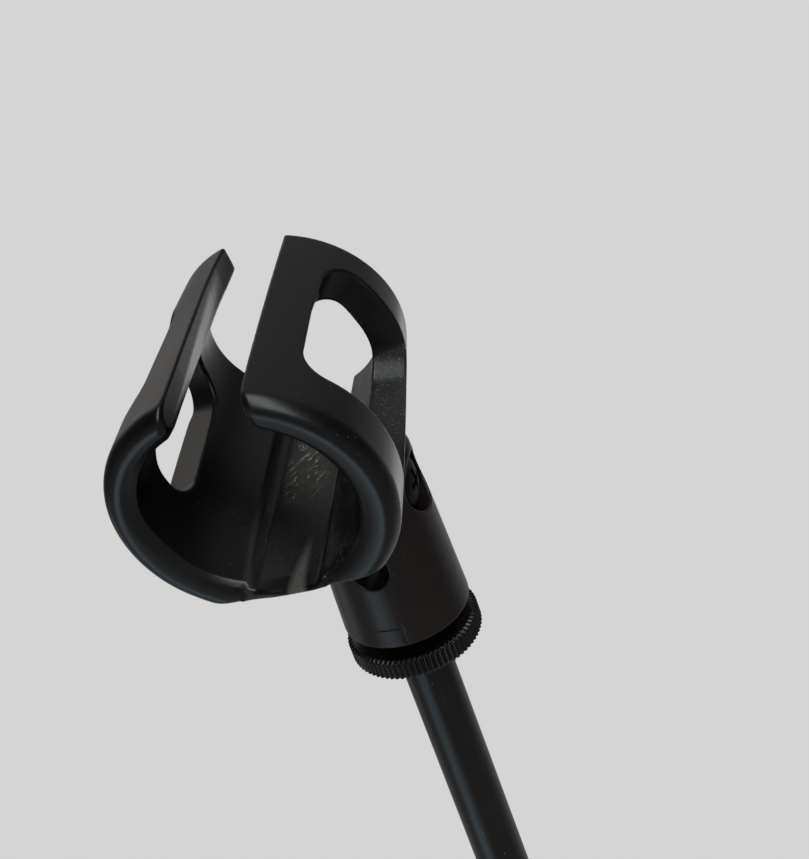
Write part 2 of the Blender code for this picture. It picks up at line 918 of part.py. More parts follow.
# Each window's cutter is a wedge from the bore axis: its two long sides are radial, its ends open outwards.
middle = sum(WINDOW_ANGLES) / 2
spread = (WINDOW_ANGLES[1] - WINDOW_ANGLES[0]) / 2
for side in (1, -1):
    window = block("window_%s" % ("a" if side > 0 else "b"), (-1 * MM, -1 * MM, -1 * MM), (1 * MM, 1 * MM, 1 * MM))
    for point in window.data.vertices:
        r = 9 * MM if point.co.x < 0 else 32 * MM
        half = r * math.tan(spread)
        if point.co.z < 0:
            s = 12.7 * MM - 0.32 * (r - 15.8 * MM)
            # The lower near corner reaches a little further down.
            if point.co.y > 0:
                half = r * math.tan(spread + math.radians(3))
        else:
            s = 38.2 * MM + 0.30 * (r - 15.0 * MM)
        point.co = Vector((r, math.copysign(half, point.co.y), s))
    edge = window.modifiers.new("Corners", "BEVEL")
    edge.width = 4.5 * MM
    edge.segments = 3
    edge.limit_method = "WEIGHT"
    weights = window.data.attributes.new("bevel_weight_edge", "FLOAT", "EDGE")
    for line in window.data.edges:
        ends = [window.data.vertices[i].co for i in line.vertices]
        if abs(ends[0].x - ends[1].x) > 10 * MM:
            weights.data[line.index].value = 1.0
    # Local +X of the wedge points at the window's middle, measured from the slot round towards this side.
    window.location = (0, 0, 0)
    window.rotation_euler = (0, 0, middle - math.pi / 2)
    if side < 0:
        for point in window.data.vertices:
            point.co.x = -point.co.x
        window.data.flip_normals()
        window.rotation_euler = (0, 0, math.pi / 2 - middle)
    cut(clip, window)
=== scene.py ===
"""Looks of the boom microphone stand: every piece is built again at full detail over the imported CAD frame."""

import math

import bpy
import numpy as np
from mathutils import Matrix, Vector


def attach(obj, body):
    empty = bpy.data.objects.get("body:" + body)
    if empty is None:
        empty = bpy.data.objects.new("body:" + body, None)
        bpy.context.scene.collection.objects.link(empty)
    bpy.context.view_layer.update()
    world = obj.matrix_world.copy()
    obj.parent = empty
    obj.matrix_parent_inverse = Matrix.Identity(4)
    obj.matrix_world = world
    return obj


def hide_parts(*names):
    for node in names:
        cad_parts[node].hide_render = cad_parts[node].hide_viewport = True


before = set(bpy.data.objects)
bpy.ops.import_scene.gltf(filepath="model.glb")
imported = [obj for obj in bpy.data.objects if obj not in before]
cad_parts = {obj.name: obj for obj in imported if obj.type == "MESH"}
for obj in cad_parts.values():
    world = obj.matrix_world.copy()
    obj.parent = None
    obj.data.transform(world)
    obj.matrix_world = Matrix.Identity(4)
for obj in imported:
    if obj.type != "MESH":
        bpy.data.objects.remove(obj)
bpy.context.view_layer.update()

# ---------------------------------------------------------------- frames, in millimetres
RISE = math.radians(50.0)
TILT = math.radians(7.1)
SLOPE = math.radians(22.0)
MM = 0.001


def place(x=0.0, y=0.0, z=0.0):
    return Matrix.Translation((x * MM, y * MM, z * MM))


def axes(x, y, z):
    """A rotation whose columns are the local axes."""
    return Matrix([[x[i], y[i], z[i]] for i in range(3)]).to_4x4()


STAND = Matrix.Identity(4)
TILT_AXIS = place(0, 0, 850) @ axes((1, 0, 0), (0, 0, -1), (0, 1, 0))
UP, OUT = (math.cos(RISE), 0, math.sin(RISE)), (-math.sin(RISE), 0, math.cos(RISE))
BOOM_PIVOT = place(0, 0, 850) @ axes((0, 1, 0), OUT, UP)
BOOM = BOOM_PIVOT @ place(19.4, 19, 0)
NECK = BOOM @ place(0, 0, 450)
HINGE = NECK @ place(0, 0, 28) @ axes((0, 0, -1), (0, 1, 0), (1, 0, 0))
BORE = (
    NECK
    @ place(0, -49.18, 59.64)
    @ axes((1, 0, 0), (0, math.sin(TILT), -math.cos(TILT)), (0, math.cos(TILT), math.sin(TILT)))
)


def leg_frame(turn):
    return (
        Matrix.Rotation(turn, 4, "Z")
        @ place(36, 0, 118)
        @ Matrix.Rotation(SLOPE, 4, "Y")
    )


def screw_frame(base, at, way):
    """A frame at a point of base whose +Z runs the given way."""
    return base @ place(*at) @ Vector(way).to_track_quat("Z", "Y").to_matrix().to_4x4()


# ---------------------------------------------------------------- solids as distance fields
def meet(a, b, r=0.0):
    """Where both are; the outer edge between them is rounded to r, which may vary from place to place."""
    if np.ndim(r) == 0 and r <= 0:
        return np.maximum(a, b)
    return np.minimum(-r, np.maximum(a, b)) + np.hypot(
        np.maximum(a + r, 0), np.maximum(b + r, 0)
    )


def weld(a, b, r=0.0):
    """Where either is, with a fillet of r in the inner corner."""
    if r <= 0:
        return np.minimum(a, b)
    return np.maximum(r, np.minimum(a, b)) - np.hypot(
        np.maximum(r - a, 0), np.maximum(r - b, 0)
    )


def carve(a, b, r=0.0):
    return meet(a, -b, r)


def between(t, low, high):
    return np.maximum(low - t, t - high)


def bar(a, b, t, radius, low, high, r=0.0):
    """A cylinder along t, round in a and b."""
    return meet(np.hypot(a, b) - radius, between(t, low, high), r)


def brick(x, y, z, low, high, r=0.0):
    q = [
        np.abs(c - (l + h) / 2) - (h - l) / 2 + r
        for c, l, h in zip((x, y, z), low, high)
    ]
    outside = np.sqrt(sum(np.maximum(c, 0) ** 2 for c in q))
    return outside + np.minimum(np.maximum(np.maximum(q[0], q[1]), q[2]), 0) - r


def hexagon(a, b, across):
    return np.maximum(
        np.abs(a) - across / 2,
        np.maximum(np.abs(0.5 * a + 0.8660254 * b), np.abs(0.5 * a - 0.8660254 * b))
        - across / 2,
    )


def thread(x, y, z, radius, pitch, depth):
    """A cylinder with a V thread cut into it."""
    turn = z / pitch - np.arctan2(y, x) / (2 * math.pi)
    groove = np.abs((turn % 1.0) - 0.5) * 2.0
    return np.hypot(x, y) - radius + depth * groove


def mesh_from(name, verts, quads, tris=None):
    """A smooth-shaded mesh from arrays, in metres, its normals outwards."""
    verts = np.asarray(verts, np.float64)
    volume = 0.0
    parts = [quads[:, [0, 1, 2]], quads[:, [0, 2, 3]]]
    if tris is not None and len(tris):
        parts.append(tris)
    for t in parts:
        a, b, c = verts[t[:, 0]], verts[t[:, 1]], verts[t[:, 2]]
        volume += np.einsum("ij,ij->", a, np.cross(b, c))
    if volume < 0:
        quads = quads[:, ::-1]
        tris = tris[:, ::-1] if tris is not None and len(tris) else tris
    loops = [quads.ravel()]
    counts = [np.full(len(quads), 4)]
    if tris is not None and len(tris):
        loops.append(tris.ravel())
        counts.append(np.full(len(tris), 3))
    loops, counts = np.concatenate(loops), np.concatenate(counts)
    mesh = bpy.data.meshes.new(name)
    mesh.vertices.add(len(verts))
    mesh.vertices.foreach_set("co", (verts * MM).astype(np.float32).ravel())
    mesh.loops.add(len(loops))
    mesh.loops.foreach_set("vertex_index", loops.astype(np.int32))
    mesh.polygons.add(len(counts))
    mesh.polygons.foreach_set(
        "loop_start", np.concatenate(([0], np.cumsum(counts)[:-1])).astype(np.int32)
    )
    mesh.update(calc_edges=True)
    mesh.validate()
    mesh.shade_smooth()
    return mesh


def near(points, field, rounds, reach):
    """Moves points onto the field's zero surface."""
    h = 0.02
    for _ in range(rounds):
        x, y, z = points[:, 0], points[:, 1], points[:, 2]
        f = field(x, y, z)
        g = np.stack(
            [
                field(x + h, y, z) - field(x - h, y, z),
                field(x, y + h, z) - field(x, y - h, z),
                field(x, y, z + h) - field(x, y, z - h),
            ],
            1,
        ) / (2 * h)
        size = np.maximum((g * g).sum(1), 0.2)
        move = -(f / size)[:, None] * g
        length = np.linalg.norm(move, axis=1)
        move *= np.minimum(1.0, reach / np.maximum(length, 1e-9))[:, None]
        points = points + move
    return points


CORNERS = [(i, j, k) for i in (0, 1) for j in (0, 1) for k in (0, 1)]
EDGES = [
    (a, b)
    for a in CORNERS
    for b in CORNERS
    if sum(abs(p - q) for p, q in zip(a, b)) == 1 and a < b
]


def solid(name, field, low, high, step, fine=False):
    """The mesh of field < 0: one point a grid cell, drawn onto the surface and evened out."""
    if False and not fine:
        step *= 1.8
    low = [v - 1.5 * step for v in low]
    count = [int(math.ceil((h + 1.5 * step - l) / step)) + 1 for l, h in zip(low, high)]
    line = [l + step * np.arange(n) for l, n in zip(low, count)]
    value = np.empty(count, np.float32)
    for i in range(0, count[0], 16):
        part = line[0][i : i + 16].astype(np.float32)
        value[i : i + 16] = field(
            part[:, None, None],
            line[1].astype(np.float32)[None, :, None],
            line[2].astype(np.float32)[None, None, :],
        )
    inside = value < 0
    total = np.zeros([n - 1 for n in count], np.int8)
    for i, j, k in CORNERS:
        total += inside[
            i : count[0] - 1 + i, j : count[1] - 1 + j, k : count[2] - 1 + k
        ]
    active = (total > 0) & (total < 8)
    cell = np.argwhere(active)
    index = np.full(active.shape, -1, np.int32)
    index[active] = np.arange(len(cell))
    place_, crossings = np.zeros((len(cell), 3)), np.zeros(len(cell))
    for a, b in EDGES:
        a_, b_ = np.array(a), np.array(b)
        va = value[tuple((cell + a_).T)].astype(float)
        vb = value[tuple((cell + b_).T)].astype(float)
        hit = (va < 0) != (vb < 0)
        t = np.where(hit, va / np.where(hit, va - vb, 1.0), 0.0)
        place_ += np.where(hit[:, None], a_ + t[:, None] * (b_ - a_), 0.0)
        crossings += hit
    points = np.array(low) + step * (cell + place_ / crossings[:, None])
    quads = []
    for axis in range(3):
        u, v = (axis + 1) % 3, (axis + 2) % 3
        first = [slice(1, -1)] * 3
        first[axis] = slice(0, count[axis] - 1)
        second = list(first)
        second[axis] = slice(1, count[axis])
        here, there = inside[tuple(first)], inside[tuple(second)]
        at = np.argwhere(here != there)
        out = here[tuple(at.T)]
        at[:, u] += 1
        at[:, v] += 1
        ring = []
        for du, dv in ((-1, -1), (0, -1), (0, 0), (-1, 0)):
            c = at.copy()
            c[:, u] += du
            c[:, v] += dv
            ring.append(index[tuple(c.T)])
        q = np.stack(ring, 1)
        q[~out] = q[~out][:, ::-1]
        quads.append(q)
    quads = np.concatenate(quads)
    points = near(points, field, 2, 0.6 * step)
    ends = np.concatenate([quads[:, [i, (i + 1) % 4]] for i in range(4)])
    n = len(points)
    degree = np.bincount(ends.ravel(), minlength=n).astype(float)
    for _ in range(3):
        mean = np.stack(
            [
                np.bincount(ends[:, 0], points[ends[:, 1], k], n)
                + np.bincount(ends[:, 1], points[ends[:, 0], k], n)
                for k in range(3)
            ],
            1,
        ) / degree[:, None]
        points = near(points + 0.5 * (mean - points), field, 1, 0.5 * step)
    return mesh_from(name, points, quads)


def corner(profile, closed, steps=5):
    """A profile of (radius, height, rounding) with its corners turned into arcs."""
    made = []
    n = len(profile)
    for i, p in enumerate(profile):
        r = p[2] if len(p) > 2 else 0.0
        here = np.array(p[:2], float)
        if r <= 0 or (not closed and i in (0, n - 1)):
            made.append(here)
            continue
        before = np.array(profile[i - 1][:2], float) - here
        after = np.array(profile[(i + 1) % n][:2], float) - here
        la, lb = np.linalg.norm(before), np.linalg.norm(after)
        before, after = before / la, after / lb
        turn = math.acos(max(-1.0, min(1.0, float(before @ after))))
        if turn > math.pi - 0.05:
            made.append(here)
            continue
        reach = min(r / math.tan(turn / 2), 0.48 * la, 0.48 * lb)
        r = reach * math.tan(turn / 2)
        middle = here + (before + after) / np.linalg.norm(before + after) * (
            r / math.sin(turn / 2)
        )
        a, b = here + before * reach - middle, here + after * reach - middle
        for s in range(steps + 1):
            t = s / steps
            way = a * (1 - t) + b * t
            made.append(middle + way / np.linalg.norm(way) * r)
    return np.array(made)


def turned(name, profile, steps=96, shape=None, split=None):
    """A (radius, height, rounding) profile turned about Z. shape(angle, radius, height) gives the radius, and split cuts long straight runs."""
    closed = profile[0][0] > 0
    line = corner(profile, closed)
    if split:
        longer = []
        n = len(line)
        for i in range(n if closed else n - 1):
            a, b = line[i], line[(i + 1) % n]
            k = max(1, int(np.linalg.norm(b - a) / split))
            longer += [a + (b - a) * j / k for j in range(k)]
        if not closed:
            longer.append(line[-1])
        line = np.array(longer)
    angle = np.arange(steps) * (2 * math.pi / steps)
    r = np.repeat(line[None, :, 0], steps, 0)
    z = np.repeat(line[None, :, 1], steps, 0)
    t = np.repeat(angle[:, None], len(line), 1)
    if shape is not None:
        r = shape(t, r, z)
    grid = np.stack([r * np.cos(t), r * np.sin(t), z], 2)
    k = len(line)
    number = np.arange(steps * k).reshape(steps, k)
    after = np.roll(number, -1, 0)
    if closed:
        number2, after2 = np.roll(number, -1, 1), np.roll(after, -1, 1)
        quads = np.stack([number, number2, after2, after], 2).reshape(-1, 4)
        return mesh_from(name, grid.reshape(-1, 3), quads)
    verts = grid[:, 1:-1].reshape(-1, 3)
    k -= 2
    number = np.arange(steps * k).reshape(steps, k)
    after = np.roll(number, -1, 0)
    quads = np.stack(
        [number[:, :-1], number[:, 1:], after[:, 1:], after[:, :-1]], 2
    ).reshape(-1, 4)
    top, low = steps * k, steps * k + 1
    verts = np.concatenate(
        [verts, [[0, 0, line[0, 1]], [0, 0, line[-1, 1]]]]
    )
    tris = np.concatenate(
        [
            np.stack([np.full(steps, top), number[:, 0], after[:, 0]], 1),
            np.stack([number[:, -1], np.full(steps, low), after[:, -1]], 1),
        ]
    )
    return mesh_from(name, verts, quads, tris)


# ---------------------------------------------------------------- materials
def shader(name, colour, roughness, metallic=0.0, **sockets):
    made = bpy.data.materials.new(name)
    made.use_nodes = True
    made.diffuse_color = (*colour, 1)
    nodes = made.node_tree.nodes
    main = nodes["Principled BSDF"]
    main.inputs["Base Color"].default_value = (*colour, 1)
    main.inputs["Roughness"].default_value = roughness
    main.inputs["Metallic"].default_value = metallic
    for key, value in sockets.items():
        main.inputs[key.replace("_", " ")].default_value = value
    return made, main


class Web:
    """Short ways to add nodes to one material."""

    def __init__(self, made):
        self.tree = made.node_tree
        self.nodes, self.links = self.tree.nodes, self.tree.links
        self.where = self.add("ShaderNodeTexCoord").outputs["Object"]

    def add(self, kind, **values):
        node = self.nodes.new(kind)
        for key, value in values.items():
            setattr(node, key, value)
        return node

    def feed(self, socket, value):
        if isinstance(value, bpy.types.NodeSocket):
            self.links.new(value, socket)
        else:
            socket.default_value = value

    def stretched(self, scale, turn=(0, 0, 0), vector=None):
        node = self.add("ShaderNodeMapping")
        self.feed(node.inputs["Vector"], vector or self.where)
        node.inputs["Scale"].default_value = scale
        node.inputs["Rotation"].default_value = turn
        return node.outputs["Vector"]

    def noise(self, scale, detail=3.0, rough=0.55, vector=None, distortion=0.0):
        node = self.add("ShaderNodeTexNoise")
        self.feed(node.inputs["Vector"], vector or self.where)
        node.inputs["Scale"].default_value = scale
        node.inputs["Detail"].default_value = detail
        node.inputs["Roughness"].default_value = rough
        node.inputs["Distortion"].default_value = distortion
        return node.outputs["Fac"]

    def cells(self, scale, vector=None, feature="F1"):
        node = self.add("ShaderNodeTexVoronoi", feature=feature)
        self.feed(node.inputs["Vector"], vector or self.where)
        node.inputs["Scale"].default_value = scale
        return node

    def range(self, value, a, b, c, d):
        node = self.add("ShaderNodeMapRange", clamp=True)
        self.feed(node.inputs["Value"], value)
        for key, v in zip(("From Min", "From Max", "To Min", "To Max"), (a, b, c, d)):
            self.feed(node.inputs[key], v)
        return node.outputs["Result"]

    def sum(self, operation, a, b):
        node = self.add("ShaderNodeMath", operation=operation)
        self.feed(node.inputs[0], a)
        self.feed(node.inputs[1], b)
        return node.outputs[0]

    def blend(self, fac, a, b):
        node = self.add("ShaderNodeMix", data_type="RGBA")
        self.feed(node.inputs["Factor"], fac)
        for key, v in ((6, a), (7, b)):
            self.feed(node.inputs[key], v if isinstance(v, bpy.types.NodeSocket) else (*v, 1))
        return node.outputs[2]

    def bump(self, height, distance, strength=1.0, normal=None):
        node = self.add("ShaderNodeBump")
        self.feed(node.inputs["Height"], height)
        node.inputs["Distance"].default_value = distance
        node.inputs["Strength"].default_value = strength
        if normal is not None:
            self.feed(node.inputs["Normal"], normal)
        return node.outputs["Normal"]

    def tent(self, value, a, b, c, d):
        """0 below a, 1 from b to c, 0 above d."""
        return self.sum("MULTIPLY", self.range(value, a, b, 0.0, 1.0), self.range(value, c, d, 1.0, 0.0))

    def all(self, *values):
        made = values[0]
        for value in values[1:]:
            made = self.sum("MULTIPLY", made, value)
        return made

    def part(self, axis):
        node = self.add("ShaderNodeSeparateXYZ")
        self.feed(node.inputs[0], self.where)
        return node.outputs[axis]


def dusty(w, amount, size=900.0):
    """Sparse small specks: 1 on a speck."""
    cell = w.cells(size)
    speck = w.range(cell.outputs["Distance"], 0.10, 0.22, 1.0, 0.0)
    pick = w.add("ShaderNodeSeparateColor")
    w.feed(pick.inputs[0], cell.outputs["Color"])
    chosen = w.range(pick.outputs[0], 1.0 - amount, 1.0 - amount + 0.01, 0.0, 1.0)
    return w.sum("MULTIPLY", speck, chosen)


def scratches(w, scale, cut, turn=(0.3, 0.2, 0.9), stretch=(1, 14, 1)):
    """Thin broken lines: 1 on a scratch."""
    line = w.noise(scale, 2.0, 0.6, w.stretched(stretch, turn))
    ridge = w.sum("ABSOLUTE", w.sum("SUBTRACT", line, 0.5), 0.0)
    thin = w.range(ridge, 0.0, cut, 1.0, 0.0)
    broken = w.range(w.noise(70.0, 2.0), 0.52, 0.62, 0.0, 1.0)
    return w.sum("MULTIPLY", thin, broken)


def plastic(name, inside=False, dark=(0.0016, 0.0015, 0.0015), light=(0.0034, 0.0027, 0.0023)):
    """Moulded black plastic: fine grain, faint flow marks, handling scratches and dust; inside the clip also a
    painted reflection and painted light.
    """
    made, main = shader(name, (0.0034, 0.0031, 0.0030), 0.31, Specular_IOR_Level=0.34)
    w = Web(made)
    flow = w.noise(55.0, 3.0, 0.6, distortion=0.4)
    grain = w.noise(5200.0, 2.0, 0.6)
    lines = scratches(w, 420.0, 0.012)
    dust = dusty(w, 0.025, 1500.0)
    colour = w.blend(w.range(flow, 0.35, 0.65, 0.0, 1.0), dark, light)
    colour = w.blend(w.sum("MULTIPLY", dust, 0.22), colour, (0.26, 0.25, 0.23))
    colour = w.blend(w.sum("MULTIPLY", lines, 0.18), colour, (0.06, 0.06, 0.056))
    rough = w.sum("ADD", w.range(flow, 0.3, 0.7, 0.27, 0.36), w.range(grain, 0.3, 0.7, -0.03, 0.03))
    height = w.sum("ADD", w.sum("MULTIPLY", grain, 0.5), w.sum("MULTIPLY", w.noise(900.0, 2.0), 0.5))
    if inside:
        # Wear where a handle slides in, and painted light on the floor and the channel's left wall. x, y and z are
        # the clip's own, in metres.
        x, y, z = w.part(0), w.part(1), w.part(2)
        # Short scuffs that run askew across the floor.
        along = w.stretched((0.16, 1.0, 1.0), (0, 0, 0), w.stretched((1, 1, 1), (0, 0.96, 0)))
        scuff = w.noise(1100.0, 2.0, 0.55, along, 0.25)
        scuff = w.range(w.sum("ABSOLUTE", w.sum("SUBTRACT", scuff, 0.52), 0.0), 0.0, 0.022, 1.0, 0.0)
        worn = w.all(
            scuff,
            w.range(w.noise(380.0, 2.0, 0.6), 0.49, 0.58, 0.0, 1.0),
            w.tent(x, -0.0045, -0.0020, 0.0015, 0.0040),
            w.tent(z, 0.0185, 0.0225, 0.0350, 0.0385),
            w.range(y, 0.0150, 0.0158, 0.0, 1.0),
        )
        colour = w.blend(w.sum("MULTIPLY", worn, 0.85), colour, (0.60, 0.585, 0.48))
        haze = w.all(
            w.range(w.noise(500.0, 3.0, 0.6), 0.45, 0.62, 0.25, 1.0),
            w.tent(x, -0.0050, -0.0010, 0.0020, 0.0050),
            w.tent(z, 0.0170, 0.0230, 0.0340, 0.0390),
            w.range(y, 0.0150, 0.0158, 0.0, 1.0),
        )
        colour = w.blend(w.sum("MULTIPLY", haze, 0.06), colour, (0.40, 0.38, 0.28))
        # A painted reflection: a pale streak on the floor that widens towards the front.
        left = w.range(z, 0.0010, 0.0110, 0.0004, 0.0026)
        painted_reflection_streak = w.all(
            w.range(w.sum("SUBTRACT", x, left), -0.0007, 0.0006, 0.0, 1.0),
            w.range(x, 0.0024, 0.0034, 1.0, 0.0),
            w.range(z, 0.0070, 0.0125, 1.0, 0.0),
            w.range(y, 0.0150, 0.0158, 0.0, 1.0),
            w.range(w.noise(700.0, 2.0), 0.3, 0.6, 0.75, 1.0),
        )
        colour = w.blend(w.sum("MULTIPLY", painted_reflection_streak, 0.19), colour, (0.42, 0.42, 0.36))
        # The channel's left edge, lightened: painted light where the left wall is softly lit.
        edge = w.all(w.tent(x, -0.0074, -0.0067, -0.0061, -0.0056), w.range(y, 0.0138, 0.0146, 0.0, 1.0))
        colour = w.blend(w.sum("MULTIPLY", edge, 0.10), colour, (0.16, 0.155, 0.13))
        # Dust caught on the right wall and on the right window's lower face.
        patches = w.range(w.noise(420.0, 3.0, 0.6), 0.42, 0.60, 0.15, 1.0)
        wall = w.all(
            w.range(x, 0.0050, 0.0068, 0.0, 1.0),
            w.range(w.sum("ADD", w.sum("MULTIPLY", x, x), w.sum("MULTIPLY", y, y)), 0.000302, 0.000310, 1.0, 0.0),
            w.range(y, 0.0080, 0.0100, 0.0, 1.0),
            w.tent(z, 0.0010, 0.0030, 0.0300, 0.0360),
        )
        sill = w.all(
            w.range(x, 0.0140, 0.0148, 0.0, 1.0), w.tent(y, 0.0025, 0.0033, 0.0080, 0.0090),
            w.tent(z, 0.0160, 0.0300, 0.0400, 0.0410),
        )
        floor = w.all(w.range(y, 0.0150, 0.0158, 0.0, 1.0), w.tent(z, 0.0020, 0.0060, 0.0330, 0.0380))
        for size, share, where, strength in (
            (3000.0, 0.55, w.all(wall, patches), 0.85),
            (1900.0, 0.40, w.all(wall, patches), 0.85),
            (4200.0, 0.45, sill, 0.70),
            (2600.0, 0.22, sill, 0.70),
            (3200.0, 0.12, w.all(floor, patches), 0.60),
        ):
            colour = w.blend(w.all(dusty(w, share, size), where, strength), colour, (0.50, 0.49, 0.45))
        colour = w.blend(w.all(patches, wall, 0.05), colour, (0.26, 0.26, 0.27))
        colour = w.blend(w.sum("MULTIPLY", sill, 0.06), colour, (0.26, 0.26, 0.25))
    w.feed(main.inputs["Base Color"], colour)
    w.feed(main.inputs["Roughness"], rough)
    w.feed(main.inputs["Normal"], w.bump(height, 0.000012))
    return made


def paint(name, colour=(0.0050, 0.0036, 0.0028)):
    """Black enamel on tube: low waves, faint lengthwise rub marks and small chips of dust."""
    made, main = shader(name, colour, 0.30, Specular_IOR_Level=0.32)
    w = Web(made)
    wave = w.noise(600.0, 2.0, 0.5)
    rub = w.noise(900.0, 3.0, 0.6, w.stretched((1, 1, 0.03)))
    tone = w.noise(40.0, 3.0, 0.6)
    dust = dusty(w, 0.05, 800.0)
    base = w.blend(w.range(tone, 0.35, 0.65, 0.0, 1.0), tuple(c * 0.75 for c in colour), tuple(c * 1.35 for c in colour))
    base = w.blend(w.sum("MULTIPLY", w.range(rub, 0.60, 0.74, 0.0, 1.0), 0.10), base, (0.05, 0.045, 0.04))
    base = w.blend(w.sum("MULTIPLY", dust, 0.35), base, (0.20, 0.18, 0.15))
    w.feed(main.inputs["Base Color"], base)
    w.feed(main.inputs["Roughness"], w.range(rub, 0.3, 0.7, 0.25, 0.38))
    w.feed(main.inputs["Normal"], w.bump(wave, 0.000015))
    return made


def casting(name, colour, pit=0.00010, scale=1500.0):
    """Powder-coated casting: pebbled skin with paler worn high spots."""
    made, main = shader(name, colour, 0.5)
    w = Web(made)
    pebble = w.noise(scale, 3.0, 0.55)
    wide = w.noise(130.0, 3.0, 0.55)
    high = w.range(w.sum("ADD", w.sum("MULTIPLY", pebble, 0.6), w.sum("MULTIPLY", wide, 0.4)), 0.56, 0.70, 0.0, 1.0)
    base = w.blend(w.range(wide, 0.3, 0.7, 0.0, 1.0), tuple(c * 0.7 for c in colour), tuple(c * 1.3 for c in colour))
    base = w.blend(w.sum("MULTIPLY", high, 0.18), base, tuple(min(1, c * 4) for c in colour))
    w.feed(main.inputs["Base Color"], base)
    w.feed(main.inputs["Roughness"], w.range(pebble, 0.3, 0.7, 0.42, 0.62))
    w.feed(main.inputs["Normal"], w.bump(pebble, pit))
    return made


def rubber(name):
    made, main = shader(name, (0.016, 0.016, 0.0155), 0.82, Specular_IOR_Level=0.35)
    w = Web(made)
    grain = w.noise(2600.0, 3.0, 0.6)
    bloom = w.noise(90.0, 4.0, 0.65)
    dust = dusty(w, 0.15, 900.0)
    base = w.blend(w.range(bloom, 0.35, 0.7, 0.0, 1.0), (0.012, 0.012, 0.0118), (0.030, 0.029, 0.027))
    base = w.blend(w.sum("MULTIPLY", dust, 0.4), base, (0.18, 0.17, 0.155))
    w.feed(main.inputs["Base Color"], base)
    w.feed(main.inputs["Roughness"], w.range(bloom, 0.3, 0.7, 0.72, 0.90))
    w.feed(main.inputs["Normal"], w.bump(grain, 0.00003))
    return made


def metal(name, colour, dull, rough=0.26):
    """Plated metal with turning marks round its axis and slight dulling."""
    made, main = shader(name, colour, rough, 1.0)
    w = Web(made)
    marks = w.noise(2200.0, 2.0, 0.6, w.stretched((0.12, 0.12, 1.0)))
    tarnish = w.noise(180.0, 4.0, 0.62)
    w.feed(main.inputs["Base Color"], w.blend(w.range(tarnish, 0.42, 0.72, 0.0, 1.0), colour, dull))
    w.feed(
        main.inputs["Roughness"],
        w.sum("ADD", w.range(tarnish, 0.3, 0.7, rough - 0.06, rough + 0.12), w.range(marks, 0.3, 0.7, -0.04, 0.05)),
    )
    w.feed(main.inputs["Normal"], w.bump(marks, 0.000010))
    return made


CLIP_PLASTIC = plastic("clip_plastic", inside=True)
PLASTIC = plastic("black_plastic")
NECK_PLASTIC = plastic("neck_plastic", False, (0.0050, 0.0024, 0.0019), (0.0088, 0.0040, 0.0031))
PAINT = paint("black_paint")
CAST = casting("cast_black", (0.0125, 0.0120, 0.0115))
IRON = casting("cast_iron", (0.0150, 0.0145, 0.0140), 0.00016, 1000.0)
BLACK_STEEL = metal("black_steel", (0.016, 0.015, 0.0145), (0.008, 0.0078, 0.0078), 0.52)
RUBBER = rubber("rubber")
STEEL = metal("zinc_steel", (0.56, 0.56, 0.57), (0.34, 0.33, 0.31))
BRASS = metal("brass", (0.78, 0.58, 0.27), (0.42, 0.28, 0.12), 0.30)


def piece(node, mesh, where, body, look, name=None, alone=True):
    obj = bpy.data.objects.new(name or "look_" + node, mesh)
    bpy.context.scene.collection.objects.link(obj)
    if not mesh.materials:
        mesh.materials.append(look)
    obj.matrix_world = where
    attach(obj, body)
    if alone:
        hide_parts(node)
    return obj


# ---------------------------------------------------------------- the clip
EYE_Y = 49.18 * math.sin(TILT) + 31.64 * math.cos(TILT)
EYE_Z = 49.18 * math.cos(TILT) - 31.64 * math.sin(TILT)
CLIP_LONG = 46.3


def ease(value, a, b):
    """0 at a, 1 at b, level at both ends."""
    t = np.clip((value - a) / (b - a), 0, 1)
    return t * t * (3 - 2 * t)


